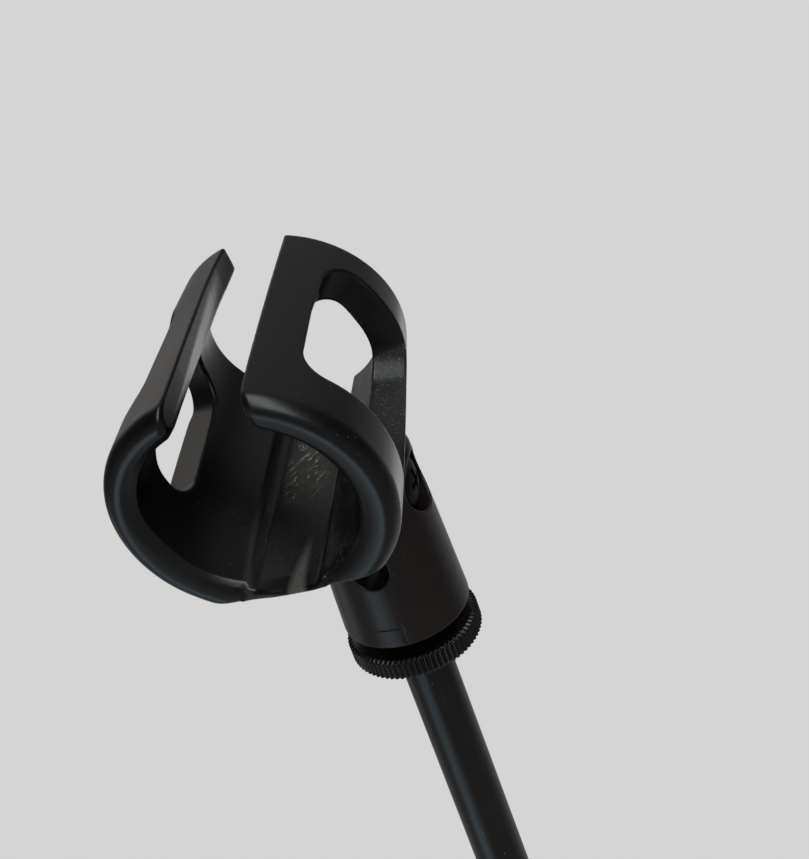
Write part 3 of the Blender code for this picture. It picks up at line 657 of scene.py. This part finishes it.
def clip_field(x, y, z):
    r = np.hypot(x, y)
    outside = (r - (23.565 - 0.06136 * z - 0.000634 * z * z)) * 0.996
    outside = outside + np.where(x < 0, 0.22 * ease(np.arctan2(-x, -y), 2.1, 2.5), 0.0) * ease(z, 12.0, 3.0)
    # The left arm is a little thinner than the right one beside the slot.
    angle = np.arctan2(np.abs(x), -y)
    thin = np.where(x < 0, ease(angle, 1.95, 1.35), 0.0) * np.interp(z, [0, 15, 35, 42], [1.0, 0.95, 0.3, 0])
    bore = (r - thin - (17.12 - 0.1117 * z + 0.001237 * z * z)) * 0.99
    # The rim's front is rounded outside, and leans in to a narrow lip round the bore.
    front = (0.18 * (20.3 - r + np.hypot(20.3 - r, 1.4)) - 0.07 - z) * 0.94
    lip = (r - thin - (18.13 + 1.15 * (0.8 - z))) * 0.66
    shell = meet(outside, front, 3.0)
    shell = meet(shell, z - CLIP_LONG - 0.45, 0.7)
    shell = carve(shell, np.minimum(bore, lip), 0.3)
    # The bore's floor is a flat shelf, and the underside a flat that eases up towards +X.
    keel = y - (18.14 - 0.0056 * np.maximum(x + 3.0, 0) ** 2 * np.clip(1 - z / 12.0, 0, 1))
    lean = np.maximum(20.3 - r, 0) * 0.36 * (1 - 0.93 * ease(x, -8.5, -2.5) * ease(x, 8.5, 4.0))
    shelf = np.maximum(np.maximum(np.maximum(-8.0 - x, x - 6.5), 16.0 - y), np.maximum((lean - z) * 0.94, z - 30.0))
    shelf = np.maximum(shelf, y - 20.0)
    shell = weld(shell, shelf, 0.6)
    shell = meet(shell, keel, 0.3)
    # Tongue: an eye and the web that carries it.
    near_side = 0.4838 * (y - 35.42) - 0.8752 * (z - 39.25)
    far_side = -0.3136 * (y - 35.42) + 0.9496 * (z - 50.53)
    web = np.maximum(np.maximum(near_side, far_side), np.maximum(17.0 - y, y - EYE_Y))
    plate = np.minimum(web, np.hypot(y - EYE_Y, z - EYE_Z) - 6.0)
    plate = meet(plate, np.abs(x) - 2.9, 0.5)
    whole = weld(shell, plate, 1.6)
    whole = carve(whole, np.hypot(y - EYE_Y, z - EYE_Z) - 2.35, 0.3)
    # Floor channel, slot and the two windows.
    sill = 16.6 + 0.8 * ease(x, -6.0, 1.0) * ease(x, 6.3, 3.0) * np.clip(1 - z / 3.0, 0, 1)
    whole = carve(whole, meet(np.maximum(np.abs(x) - 6.25, -y), y - sill, 1.3), 0.6)
    inner = np.interp(z, [0, 10, 28, 38, 42, 46], [1.0, 1.2, 0.8, 0.45, 0.1, -0.2]) * ease(r, 19.5, 15.5)
    left = np.interp(z, [0, 13, 36, 41, 46.5], [6.3, 6.2, 6.4, 6.25, 5.7]) + inner
    right = 6.4 - 0.030 * z
    side = np.abs(x) - np.where(x < 0, left, right)
    soft = 0.45 + 1.25 * np.clip(1 - z / 4.5, 0, 1)
    whole = carve(whole, np.maximum(side, y + 2.0), soft)
    top = math.radians(36.0) + math.radians(2.5) * np.clip((z - 26.0) / 12.0, 0, 1)
    low = math.radians(110.0) - np.where(x < 0, math.radians(1.8), 0.0) + math.radians(3.5) * np.clip((38.0 - z) / 27.0, 0, 1)
    across = np.abs(angle - (top + low) / 2) * r - (low - top) / 2 * r
    near_end = 12.7 - 0.32 * (r - 15.8) + np.where(x > 0, 0.4 * ease(angle, 1.5, 1.1), 0.0)
    far_end = 38.2 + 0.30 * (r - 15.0)
    far_end = far_end + np.where(x > 0, 0.9 * ease(angle, 1.3, 0.9), 0.0)
    far_end = far_end - 1.0 * np.where(x < 0, ease(r, 17.5, 20.0) * ease(angle, 1.31, 1.13), 0.0)
    along = np.maximum(near_end - z, z - far_end)
    corner_r = np.where((z > 25.4) & (angle < (top + low) / 2), np.where(x < 0, 8.2, 5.2), 4.6)
    window = (
        np.hypot(np.maximum(across + corner_r, 0), np.maximum(along + corner_r, 0))
        + np.minimum(np.maximum(across, along) + corner_r, 0)
        - corner_r
    )
    window = np.where(r > 8, window, 5.0)
    return carve(whole, window, 0.4 + 0.5 * np.where(x < 0, ease(z, 33.0, 36.0), 0.0))


piece(
    "mic_clip",
    solid("mic_clip", clip_field, (-24.5, -24.5, -0.5), (24.5, 44.0, 51.5), 0.27, True),
    BORE,
    "clip",
    CLIP_PLASTIC,
)


# ---------------------------------------------------------------- the neck
def neck_field(x, y, z):
    r = np.hypot(x, y)
    wall = np.interp(z, [-5, 1.0, 20.0, 34.0, 45.0], [12.22, 12.18, 11.50, 10.95, 10.5])
    body = meet(r - wall, z - 35.5, 1.5)
    body = meet(body, -z, 0.7)
    body = carve(body, bar(x, y, z, 9.9, -5, 10), 0.3)
    fork = np.where(z < 17.0, np.hypot(x, z - 17.0), np.abs(x)) - 3.3
    body = carve(body, fork, 0.35)
    pocket = np.maximum(np.hypot(y, z - 28.0) - 5.7, 7.0 - np.abs(x))
    body = carve(body, pocket, 0.3)
    body = carve(body, np.hypot(y, z - 28.0) - 2.35, 0.2)
    # A short mould line and a step in front.
    line = np.maximum(np.abs(x - 2.2) - 0.10, np.maximum(np.abs(z - 2.9) - 2.1, y))
    body = carve(body, np.maximum(line, (wall - 0.18) - r), 0.05)
    ridge = np.maximum(np.abs(z - 4.2) - 0.16, np.maximum(np.abs(x + 0.4) - 1.9, y))
    body = np.minimum(body, np.maximum(ridge, np.maximum(r - wall - 0.10, 10.5 - r)))
    return body


piece(
    "clip_neck",
    solid("clip_neck", neck_field, (-12.4, -12.4, 0), (12.4, 12.4, 35.5), 0.22, True),
    NECK,
    "neck",
    NECK_PLASTIC,
)
TEETH = 74


def knurl(t, r, z):
    tooth = np.abs(((t * TEETH / (2 * math.pi)) % 1.0) - 0.5) * 2.0
    tooth = tooth ** 1.3
    return np.where(r > 12.0, r - 0.55 * tooth, r)


piece(
    "adapter_ring",
    turned(
        "adapter_ring",
        [
            (7.5, 8.5, 0.3),
            (7.5, -2.94, 0.3),
            (12.15, -2.94, 0.1),
            (12.72, -3.35, 0.15),
            (12.72, -6.80, 0.15),
            (12.15, -7.20, 0.1),
            (4.0, -7.20, 0.2),
            (4.0, 8.5, 0.2),
        ],
        TEETH * 8,
        knurl,
    ),
    NECK,
    "ring",
    PLASTIC,
)
piece(
    "neck_insert",
    turned(
        "neck_insert",
        [(9.5, 9.6, 0.3), (9.5, 0.5, 0.3), (7.95, 0.5, 0.3), (7.95, 9.6, 0.3)],
        160,
        lambda t, r, z: np.where(r < 8.4, r + 0.12 * np.abs(((z / 0.94 - t / (2 * math.pi)) % 1) - 0.5), r),
        0.25,
    ),
    NECK,
    "neck",
    BRASS,
)
piece(
    "rod_stud",
    turned(
        "rod_stud",
        [(0, 6), (3.1, 6, 0.3), (3.65, 5.4, 0.2), (3.65, -28, 0.3), (0, -28)],
        64,
        lambda t, r, z: np.where(r > 3.5, r - 0.22 * np.abs(((z / 1.0 - t / (2 * math.pi)) % 1) - 0.5), r),
        0.25,
    ),
    NECK,
    "rod",
    STEEL,
)


def bolt_field(x, y, z):
    r = np.hypot(x, y)
    head = meet(meet(r - 4.7, 7.3 - z, 0.2), z - (10.3 - 0.055 * r * r * 0.9), 0.3)
    stem = np.maximum(thread(x, y, z, 2.0, 0.7, 0.22), between(z, -10.3, 7.5))
    body = np.minimum(head, meet(stem, -10.4 - z, 0.3))
    a, b = np.abs(x), np.abs(y)
    arm = np.minimum(np.maximum(a - 0.5, b - 2.4), np.maximum(b - 0.5, a - 2.4))
    return carve(body, np.maximum(arm, 8.8 - z), 0.1)


piece(
    "hinge_bolt",
    solid("hinge_bolt", bolt_field, (-4.8, -4.8, -10.4), (4.8, 4.8, 10.3), 0.16, True),
    HINGE,
    "neck",
    BLACK_STEEL,
)


def nut_field(x, y, z):
    body = meet(hexagon(x, y, 8.0), between(z, -10.0, -7.3), 0.2)
    body = meet(body, (np.hypot(x, y) - 4.35 + np.abs(z + 8.65) * 0.9 - 1.0) * 0.74, 0.1)
    return carve(body, np.hypot(x, y) - 2.35, 0.2)


piece(
    "hinge_nut",
    solid("hinge_nut", nut_field, (-4.7, -4.7, -10), (4.7, 4.7, -7.3), 0.16, True),
    HINGE,
    "neck",
    BLACK_STEEL,
)

# ---------------------------------------------------------------- the boom
piece(
    "boom_rod",
    turned(
        "boom_rod",
        [(5.0, 442.70, 0.5), (5.0, 60, 0.4), (4.0, 60, 0.2), (4.0, 442.70, 0.2)],
        128,
        None,
        8,
    ),
    BOOM,
    "rod",
    PAINT,
)
piece(
    "boom_tube",
    turned(
        "boom_tube",
        [(8.0, 262, 0.4), (8.0, -235, 0.4), (6.8, -235, 0.2), (6.8, 262, 0.2)],
        128,
        None,
        8,
    ),
    BOOM,
    "boom",
    PAINT,
)


def lobes(count, depth, low, high, least, power=1.0):
    """Scallops round a grip, fading out near its two ends."""

    def shape(t, r, z):
        fade = np.clip((z - low) / 3.0, 0, 1) * np.clip((high - z) / 3.0, 0, 1)
        fade = fade * fade * (3 - 2 * fade)
        dip = (0.5 - 0.5 * np.cos(t * count)) ** power
        return np.where(r > least, r - depth * dip * fade, r)

    return shape


piece(
    "boom_grip",
    turned(
        "boom_grip",
        [
            (12.3, 301, 1.2),
            (14.0, 298.5, 1.5),
            (14.0, 276, 1.2),
            (13.0, 273, 0.8),
            (9.95, 273, 0.3),
            (9.95, 292.4, 0.3),
            (5.5, 292.4, 0.3),
            (5.5, 301, 0.5),
        ],
        240,
        lobes(20, 0.9, 275.0, 299.5, 12.0, 2.0),
        0.7,
    ),
    BOOM,
    "boom_grip",
    RUBBER,
)


def rings(pitch, depth, low, high, least):
    """Shallow grooves round a sleeve."""

    def shape(t, r, z):
        inside = (z > low) & (z < high) & (r > least)
        dip = np.clip(np.abs(((z - low) / pitch) % 1 - 0.5) * 4 - 1.2, 0, 1)
        return np.where(inside, r - depth * (1 - dip), r)

    return shape


piece(
    "boom_clutch",
    turned(
        "boom_clutch",
        [
            (9.5, 292, 0.5),
            (9.5, 272, 0.4),
            (12.5, 269, 0.8),
            (12.5, 240, 1.0),
            (10.5, 232, 0.8),
            (8.4, 232, 0.3),
            (8.4, 262.4, 0.2),
            (5.5, 262.4, 0.2),
            (5.5, 292, 0.3),
        ],
        160,
        rings(4.0, 0.45, 244.0, 264.0, 12.0),
        0.35,
    ),
    BOOM,
    "boom",
    PLASTIC,
)
piece(
    "boom_end_cap",
    turned(
        "boom_end_cap",
        [
            (0, -222),
            (5.8, -222, 0.4),
            (6.4, -223, 0.3),
            (6.4, -235.3, 0.2),
            (9.5, -235.3, 0.6),
            (9.5, -241, 0.8),
            (7.5, -243.5, 1.2),
            (0, -243.5),
        ],
        120,
        lobes(24, 0.35, -242.0, -234.0, 9.0),
        0.6,
    ),
    BOOM,
    "boom",
    PLASTIC,
)


def weight_field(x, y, z):
    r = np.hypot(x, y)
    body = meet(r - 26.0, between(z, -220.0, -160.0), 3.2)
    groove = np.hypot(r - 26.6, np.minimum(np.abs(z + 172.0), np.abs(z + 208.0))) - 1.5
    body = carve(body, groove, 0.5)
    body = carve(body, r - 8.5, 0.8)
    way = np.hypot(x, z + 190.0)
    flat = np.maximum(way - 9.0, 25.2 - y)
    body = carve(body, flat, 0.4)
    return carve(body, np.maximum(way - 3.4, -y), 0.5)


piece(
    "counterweight",
    solid("counterweight", weight_field, (-26, -26, -220), (26, 26, -160), 0.5),
    BOOM,
    "counterweight",
    IRON,
)


def thumb(stem):
    """A screw with a flat grip; its tip is at z = 0."""

    def field(x, y, z):
        r = np.hypot(x, y)
        shank = np.maximum(thread(x, y, z, 3.0, 1.0, 0.35), between(z, 0.0, stem + 1))
        shank = meet(shank, (r + 2.0 - z) * 0.0 + (r - 2.3 - z) * 0.7, 0.1)
        collar = bar(x, y, z, 5.2, stem, stem + 9.0, 0.6)
        grip = brick(x, y, z, (-11, -1.9, stem + 2.5), (11, 1.9, stem + 15), 1.6)
        # The grip's two ears stand clear of a dip between them.
        dip = np.hypot(x, z - (stem + 17.5)) - 5.2
        grip = carve(grip, dip, 1.0)
        return np.minimum(shank, weld(collar, grip, 1.6))

    return field


def thumb_piece(node, where, stem, body):
    piece(
        node,
        solid(node, thumb(stem), (-11, -5.3, 0), (11, 5.3, stem + 15), 0.3),
        where,
        body,
        STEEL,
    )


thumb_piece("boom_lock_screw", screw_frame(BOOM, (0, 8.7, 0), (0, 1, 0)), 10, "lock_screw")
thumb_piece("counterweight_screw", screw_frame(BOOM, (0, 8.7, -190), (0, 1, 0)), 19, "weight_screw")


def clamp_field(x, y, z):
    barrel = bar(x - 19.4, y - 19.0, z, 12.5, -24.0, 24.0, 1.4)
    disc = bar(y, z, x, 16.0, 6.6, 31.9, 1.0)
    bridge = brick(x, y, z, (7.4, 0, -14), (31.4, 19, 14), 1.5)
    boss = bar(x - 19.4, z, y, 6.5, 25.0, 35.0, 0.6)
    body = weld(weld(disc, bridge, 1.5), barrel, 3.0)
    body = weld(body, boss, 2.0)
    body = carve(body, np.hypot(x - 19.4, y - 19.0) - 8.45, 0.4)
    body = carve(body, np.hypot(y, z) - 4.4, 0.4)
    body = carve(body, np.maximum(np.hypot(x - 19.4, z) - 3.4, 20.0 - y), 0.3)
    slit = np.maximum(np.abs(y - 19.0) - 0.9, 24.0 - x)
    body = carve(body, slit, 0.25)
    # Radial teeth on the face towards the head.
    face = np.maximum(np.hypot(y, z) - 16.5, x - 6.9)
    teeth = np.abs(((np.arctan2(z, y) * 36 / (2 * math.pi)) % 1) - 0.5) * 0.8 - 0.2
    return carve(body, np.maximum(face, x - 6.6 - np.maximum(teeth, 0)), 0.0)


piece(
    "boom_clamp",
    solid("boom_clamp", clamp_field, (6.6, -16, -24), (32, 35, 24), 0.42),
    BOOM_PIVOT,
    "clamp",
    CAST,
)


# ---------------------------------------------------------------- the head
def head_field(x, y, z):
    socket = bar(x, y, z, 13.2, 776.0, 816.0, 1.5)
    stalk = brick(x, y, z, (-10, -7, 800), (10, 5, 850), 2.0)
    ear = bar(x, z - 850.0, y, 18.0, -7.0, 5.0, 1.2)
    body = weld(weld(stalk, ear, 3.0), socket, 3.5)
    boss = bar(y, z - 790.0, -x, 5.0, 5.0, 14.2, 0.6)
    body = weld(body, boss, 1.0)
    ring = np.hypot(np.hypot(x, y) - 13.8, z - 781.0) - 1.1
    body = carve(body, ring, 0.3)
    body = carve(body, np.maximum(np.hypot(x, y) - 8.4, z - 803.4), 0.4)
    body = carve(body, np.hypot(x, z - 850.0) - 4.4, 0.4)
    hole = np.maximum(np.hypot(y, z - 790.0) - 2.9, x)
    return carve(body, hole, 0.3)


piece(
    "head_socket",
    solid("head_socket", head_field, (-18.2, -13.5, 776), (18.2, 13.5, 868.2), 0.5),
    STAND,
    "head",
    CAST,
)


def grub_field(x, y, z):
    body = meet(thread(x, y, z, 2.5, 0.8, 0.22), between(z, 8.8, 14.5), 0.3)
    return carve(body, np.maximum(hexagon(x, y, 2.5), 12.0 - z), 0.1)


piece(
    "head_screw",
    solid("head_screw", grub_field, (-2.6, -2.6, 8.8), (2.6, 2.6, 14.5), 0.12),
    screw_frame(STAND, (0, 0, 790), (-1, 0, 0)),
    "head",
    STEEL,
)
piece(
    "friction_disc",
    turned(
        "friction_disc",
        [(16, 6.3, 0.3), (16, 5.3, 0.3), (4.7, 5.3, 0.2), (4.7, 6.3, 0.2)],
        128,
    ),
    TILT_AXIS,
    "head",
    RUBBER,
)
piece(
    "pivot_bolt",
    turned(
        "pivot_bolt",
        [
            (0, 47.5),
            (3.4, 47.5, 0.2),
            (4.0, 46.9, 0.2),
            (4.0, -7.3, 0.3),
            (9.0, -7.3, 0.5),
            (8.4, -9.8, 2.5),
            (5.0, -12.2, 3.0),
            (0, -12.3),
        ],
        96,
        lambda t, r, z: np.where((r > 3.8) & (r < 4.2) & (z > 20), r - 0.5 * np.abs(((z / 1.25 - t / (2 * math.pi)) % 1) - 0.5), r),
        0.3,
    ),
    TILT_AXIS,
    "head",
    STEEL,
)
piece(
    "pivot_washer",
    turned(
        "pivot_washer",
        [(10, 33.7, 0.35), (10, 32.2, 0.35), (4.4, 32.2, 0.2), (4.4, 33.7, 0.2)],
        128,
    ),
    TILT_AXIS,
    "head",
    STEEL,
)


def wing_field(x, y, z):
    r = np.hypot(x, y)
    hub = meet((r - (10.0 - (z - 34.0) * 0.0625)) * 0.998, between(z, 34.0, 52.0), 1.6)
    lean = np.abs(x) - 5.0
    ear = brick(lean, y, z, (0, -3, 39), (20, 3, 55), 2.6)
    ear = carve(ear, np.hypot(lean - 22.5, z - 36.5) - 7.5, 2.0)
    ear = carve(ear, np.hypot(lean - 4.5, z - 60.0) - 6.5, 1.5)
    body = weld(hub, ear, 2.2)
    return carve(body, np.maximum(r - 4.4, z - 48.0), 0.4)


piece(
    "pivot_wing",
    solid("pivot_wing", wing_field, (-25, -10, 34), (25, 10, 55), 0.36),
    TILT_AXIS,
    "wing",
    PLASTIC,
)

# ---------------------------------------------------------------- the mast
piece(
    "mast_rod",
    turned(
        "mast_rod",
        [(8.0, 803, 0.4), (8.0, 130, 0.4), (6.8, 130, 0.2), (6.8, 803, 0.2)],
        128,
        None,
        8,
    ),
    STAND,
    "mast_rod",
    PAINT,
)
piece(
    "mast_tube",
    turned(
        "mast_tube",
        [(11.0, 560, 0.4), (11.0, 6.4, 0.4), (9.5, 6.4, 0.2), (9.5, 560, 0.2)],
        144,
        None,
        8,
    ),
    STAND,
    "base",
    PAINT,
)
piece(
    "mast_foot",
    turned(
        "mast_foot",
        [(0, 26), (8.6, 26, 0.4), (9.1, 25, 0.3), (9.1, 6, 0.2), (14, 6, 0.6), (14, 1, 0.8), (13, 0, 0.2), (0, 0)],
        96,
        rings(1.6, 0.25, 1.3, 5.0, 13.0),
        0.3,
    ),
    STAND,
    "base",
    RUBBER,
)
piece(
    "height_clutch",
    turned(
        "height_clutch",
        [
            (13, 600, 0.5),
            (13, 576, 0.5),
            (16.5, 573, 1.0),
            (16.5, 530, 1.2),
            (14, 520, 1.2),
            (11.4, 520, 0.3),
            (11.4, 560.4, 0.2),
            (8.5, 560.4, 0.2),
            (8.5, 600, 0.3),
        ],
        176,
        rings(5.0, 0.5, 535.0, 570.0, 16.0),
        0.45,
    ),
    STAND,
    "base",
    PLASTIC,
)
piece(
    "height_grip",
    turned(
        "height_grip",
        [
            (16.5, 612, 1.2),
            (18.5, 609, 1.5),
            (18.5, 580, 1.2),
            (17.5, 577, 0.8),
            (13.5, 577, 0.3),
            (13.5, 600.4, 0.3),
            (8.5, 600.4, 0.3),
            (8.5, 612, 0.5),
        ],
        264,
        lobes(22, 1.1, 579.0, 610.5, 16.2, 2.0),
        0.9,
    ),
    STAND,
    "height_grip",
    RUBBER,
)


# ---------------------------------------------------------------- the tripod
def hub_field(x, y, z):
    r = np.hypot(x, y)
    slope = (r - (25.0 - (z - 136.0) * 0.62)) * 0.85
    drum = meet(meet(r - 25.0, between(z, 98.0, 152.0), 2.0), slope, 1.5)
    ribs = np.abs(((np.arctan2(y, x) * 24 / (2 * math.pi)) % 1) - 0.5)
    turn = np.arctan2(y, x)
    turn = (turn + math.pi / 3) % (2 * math.pi / 3) - math.pi / 3
    a, b = r * np.cos(turn), r * np.sin(turn)
    block = meet(between(a, 10.0, 36.0), np.maximum(np.abs(b) - 9.0, np.abs(z - 118.0) - 10.9), 1.0)
    end = bar(a - 36.0, z - 118.0, b, 11.0, -9.0, 9.0, 1.0)
    body = weld(drum, np.minimum(block, end), 4.0)
    gap = np.maximum(np.abs(b) - 4.7, 26.3 - a)
    body = carve(body, gap, 0.4)
    body = carve(body, np.maximum(np.hypot(a - 36.0, z - 118.0) - 2.8, 20.0 - a), 0.4)
    band = np.maximum(np.abs(z - 145.0) - 0.7, 10.0 - r)
    body = carve(body, np.maximum(band, (25.0 - (z - 136.0) * 0.62) - 0.7 - r), 0.2)
    c, s = math.cos(math.pi / 3), math.sin(math.pi / 3)
    way, off = x * c + y * s, -x * s + y * c
    body = weld(body, meet(np.hypot(off, z - 116.0) - 7.0, between(way, 15.0, 27.0), 0.8), 1.5)
    body = carve(body, np.maximum(np.hypot(off, z - 116.0) - 3.4, -way), 0.4)
    return carve(body, r - 11.4, 0.6) + 0.0 * ribs


piece(
    "leg_hub",
    solid("leg_hub", hub_field, (-35, -42, 98), (48, 42, 152), 0.55),
    STAND,
    "base",
    CAST,
)
OUTWARD = (math.cos(math.pi / 3), math.sin(math.pi / 3), 0)
thumb_piece(
    "hub_screw",
    screw_frame(STAND, (11.6 * OUTWARD[0], 11.6 * OUTWARD[1], 116), OUTWARD),
    17,
    "hub_screw",
)


def leg_field(x, y, z):
    pipe = bar(y, z, x, 8.0, 12.5, 284.0, 1.0)
    web = meet(np.maximum(between(x, 0.0, 22.0), np.abs(y) - 4.4), np.abs(z) - 7.6, 1.0)
    eye = bar(x, z, y, 7.9, -4.2, 4.2, 0.8)
    body = weld(pipe, np.minimum(web, eye), 2.5)
    body = meet(body, np.maximum(np.hypot(y, z) - 8.05, -20 - x), 0.3)
    body = carve(body, np.hypot(x, z) - 2.8, 0.4)
    return carve(body, np.maximum(np.hypot(y, z) - 6.8, 30.0 - x), 0.2)


GROUND_S, GROUND_C = math.sin(SLOPE), math.cos(SLOPE)


def foot_field(x, y, z):
    r = np.hypot(y, z)
    cone = (r - (8.7 + (x - 257.0) * 0.29)) * 0.96
    body = meet(meet(r - 12.5, between(x, 257.0, 292.0), 2.0), cone, 2.0)
    ribs = np.hypot(r - 12.9, ((x - 272.0) % 4.0) - 2.0) - 1.1
    ribs = np.maximum(ribs, between(x, 270.5, 287.0))
    body = carve(body, ribs, 0.3)
    body = carve(body, np.maximum(r - 8.4, x - 284.4), 0.4)
    below = -(118.0 - x * GROUND_S + z * GROUND_C)
    return meet(body, below, 0.5)


leg_mesh = solid("leg", leg_field, (-8, -8.2, -8.2), (284, 8.2, 8.2), 0.6)
foot_mesh = solid("leg_foot", foot_field, (257, -12.6, -12.6), (292, 12.6, 12.6), 0.42)
pin_mesh = turned(
    "leg_pin",
    [
        (0, 11.6),
        (3.6, 11.6, 0.8),
        (4.6, 10.6, 0.4),
        (4.6, 9.3, 0.2),
        (2.5, 9.3, 0.2),
        (2.5, -11.2, 0.2),
        (1.9, -11.8, 0.2),
        (0, -11.8),
    ],
    72,
)
for letter, turn in zip("abc", (0.0, 2 * math.pi / 3, 4 * math.pi / 3)):
    base = leg_frame(turn)
    piece("leg_" + letter, leg_mesh, base, "leg_" + letter, PAINT)
    piece("leg_foot_" + letter, foot_mesh, base, "leg_" + letter, RUBBER)
    piece(
        "leg_pin_" + letter,
        pin_mesh,
        base @ Matrix.Rotation(math.pi / 2, 4, "X"),
        "base",
        STEEL,
    )


# ---------------------------------------------------------------- floor, light and camera
def stage_floor():
    made, main = shader("studio_floor", (0.74, 0.74, 0.735), 0.75)
    w = Web(made)
    tone = w.noise(3.0, 4.0, 0.6)
    w.feed(main.inputs["Base Color"], w.blend(tone, (0.72, 0.72, 0.715), (0.76, 0.76, 0.755)))
    mesh = bpy.data.meshes.new("floor")
    count = 96
    ring = [
        (4.5 * math.cos(2 * math.pi * i / count), 4.5 * math.sin(2 * math.pi * i / count), -0.0002)
        for i in range(count)
    ]
    mesh.from_pydata(ring, [], [list(range(count))])
    mesh.materials.append(made)
    obj = bpy.data.objects.new("floor", mesh)
    bpy.context.scene.collection.objects.link(obj)
    obj.visible_glossy = False
    return obj


FLOOR = stage_floor()


def studio_world():
    """A pale surround; away from the camera's own sight it is brighter above and behind the object than in front."""
    world = bpy.data.worlds.new("studio")
    bpy.context.scene.world = world
    world.use_nodes = True
    nodes, links = world.node_tree.nodes, world.node_tree.links
    nodes.clear()
    out = nodes.new("ShaderNodeOutputWorld")
    seen, lit, mix = (
        nodes.new("ShaderNodeBackground"),
        nodes.new("ShaderNodeBackground"),
        nodes.new("ShaderNodeMixShader"),
    )
    seen.inputs["Color"].default_value = (0.665, 0.665, 0.66, 1)
    seen.inputs["Strength"].default_value = 1.0
    ray, way = nodes.new("ShaderNodeLightPath"), nodes.new("ShaderNodeTexCoord")
    split = nodes.new("ShaderNodeSeparateXYZ")
    links.new(way.outputs["Generated"], split.inputs[0])
    back = nodes.new("ShaderNodeMapRange")
    back.interpolation_type = "SMOOTHSTEP"
    links.new(split.outputs["X"], back.inputs["Value"])
    for key, value in zip(("From Min", "From Max", "To Min", "To Max"), (-0.45, -0.95, 0.0, 0.32)):
        back.inputs[key].default_value = value
    top = nodes.new("ShaderNodeMapRange")
    top.interpolation_type = "SMOOTHSTEP"
    links.new(split.outputs["Z"], top.inputs["Value"])
    for key, value in zip(("From Min", "From Max", "To Min", "To Max"), (0.50, 0.95, 0.0, 0.28)):
        top.inputs[key].default_value = value
    low = nodes.new("ShaderNodeMapRange")
    low.interpolation_type = "SMOOTHSTEP"
    links.new(split.outputs["Z"], low.inputs["Value"])
    for key, value in zip(("From Min", "From Max", "To Min", "To Max"), (0.0, -0.8, 0.0, 0.20)):
        low.inputs[key].default_value = value
    add = nodes.new("ShaderNodeMath")
    links.new(back.outputs[0], add.inputs[0])
    links.new(top.outputs[0], add.inputs[1])
    both = nodes.new("ShaderNodeMath")
    links.new(add.outputs[0], both.inputs[0])
    links.new(low.outputs[0], both.inputs[1])
    more = nodes.new("ShaderNodeMath")
    links.new(both.outputs[0], more.inputs[0])
    more.inputs[1].default_value = 0.07
    links.new(more.outputs[0], lit.inputs["Strength"])
    lit.inputs["Color"].default_value = (0.98, 0.99, 1.0, 1)
    links.new(ray.outputs["Is Camera Ray"], mix.inputs["Fac"])
    links.new(lit.outputs[0], mix.inputs[1])
    links.new(seen.outputs[0], mix.inputs[2])
    links.new(mix.outputs[0], out.inputs["Surface"])


studio_world()


def lamp(name, location, target, size, power, colour=(1, 1, 1), only=None):
    data = bpy.data.lights.new(name, "AREA")
    data.shape = "RECTANGLE"
    data.size, data.size_y = size
    data.energy = power
    data.color = colour
    obj = bpy.data.objects.new(name, data)
    bpy.context.scene.collection.objects.link(obj)
    obj.location = location
    obj.rotation_euler = (Vector(target) - Vector(location)).to_track_quat("-Z", "Y").to_euler()
    obj.visible_camera = False
    group = bpy.data.collections.new(name + "_link")
    group.objects.link(only or FLOOR)
    obj.light_linking.receiver_collection = group
    if only is None:
        group.collection_objects[0].light_linking.link_state = "EXCLUDE"


def floor_sun():
    """A wide soft sun for the floor alone, so that the floor is evenly pale and takes a soft shadow."""
    data = bpy.data.lights.new("floor_sun", "SUN")
    data.energy = 2.15
    data.angle = math.radians(40.0)
    obj = bpy.data.objects.new("floor_sun", data)
    bpy.context.scene.collection.objects.link(obj)
    obj.rotation_euler = (math.radians(24.0), math.radians(-18.0), 0)
    obj.light_linking.receiver_collection = bpy.data.collections.new("floor_only")
    obj.light_linking.receiver_collection.objects.link(FLOOR)


floor_sun()
lamp("key", (-0.55, -1.59, 3.10), (0.3, 0, 1.2), (1.4, 2.4), 5.4, (1.0, 0.95, 0.88))
lamp("front", (1.90, 0.62, 1.85), (0.3, 0, 1.23), (0.60, 2.5), 32.0, (0.90, 0.96, 1.0))
lamp("sheen", (0.40, -0.38, 0.26), (0.3, 0, 1.23), (0.55, 0.42), 0.95, (0.62, 0.85, 1.0))
lamp("low_left", (-0.55, -1.60, 0.47), (0.3, 0, 1.23), (0.6, 0.5), 0.34, (1.0, 0.98, 0.95))
lamp("edge", (-1.47, 0.25, 1.42), (0.3, 0, 1.23), (0.50, 0.50), 0.82, (1.0, 1.0, 0.98), bpy.data.objects["look_mic_clip"])

scene = bpy.context.scene
scene.view_settings.view_transform = "Standard"
scene.view_settings.look = "None"
data = bpy.data.cameras.new("camera")
camera = bpy.data.objects.new("camera", data)
scene.collection.objects.link(camera)
scene.camera = camera
data.sensor_fit = "AUTO"
data.sensor_width = 24.0
data.lens = 2164.632 * 24.0 / 859.0
data.clip_start = 0.01
data.clip_end = 100.0
data.dof.use_dof = False
to_neck = NECK.to_3x3()
right = to_neck @ Vector((0.9462, 0.14625, -0.28866))
down = to_neck @ Vector((-0.15638, -0.57431, -0.80356))
ahead = to_neck @ Vector((-0.2833, 0.80547, -0.52054))
eye = NECK @ Vector((0.119409, -0.307042, 0.237391))
camera.matrix_world = Matrix(
    [[right[i], -down[i], -ahead[i], eye[i]] for i in range(3)] + [[0, 0, 0, 1]]
)
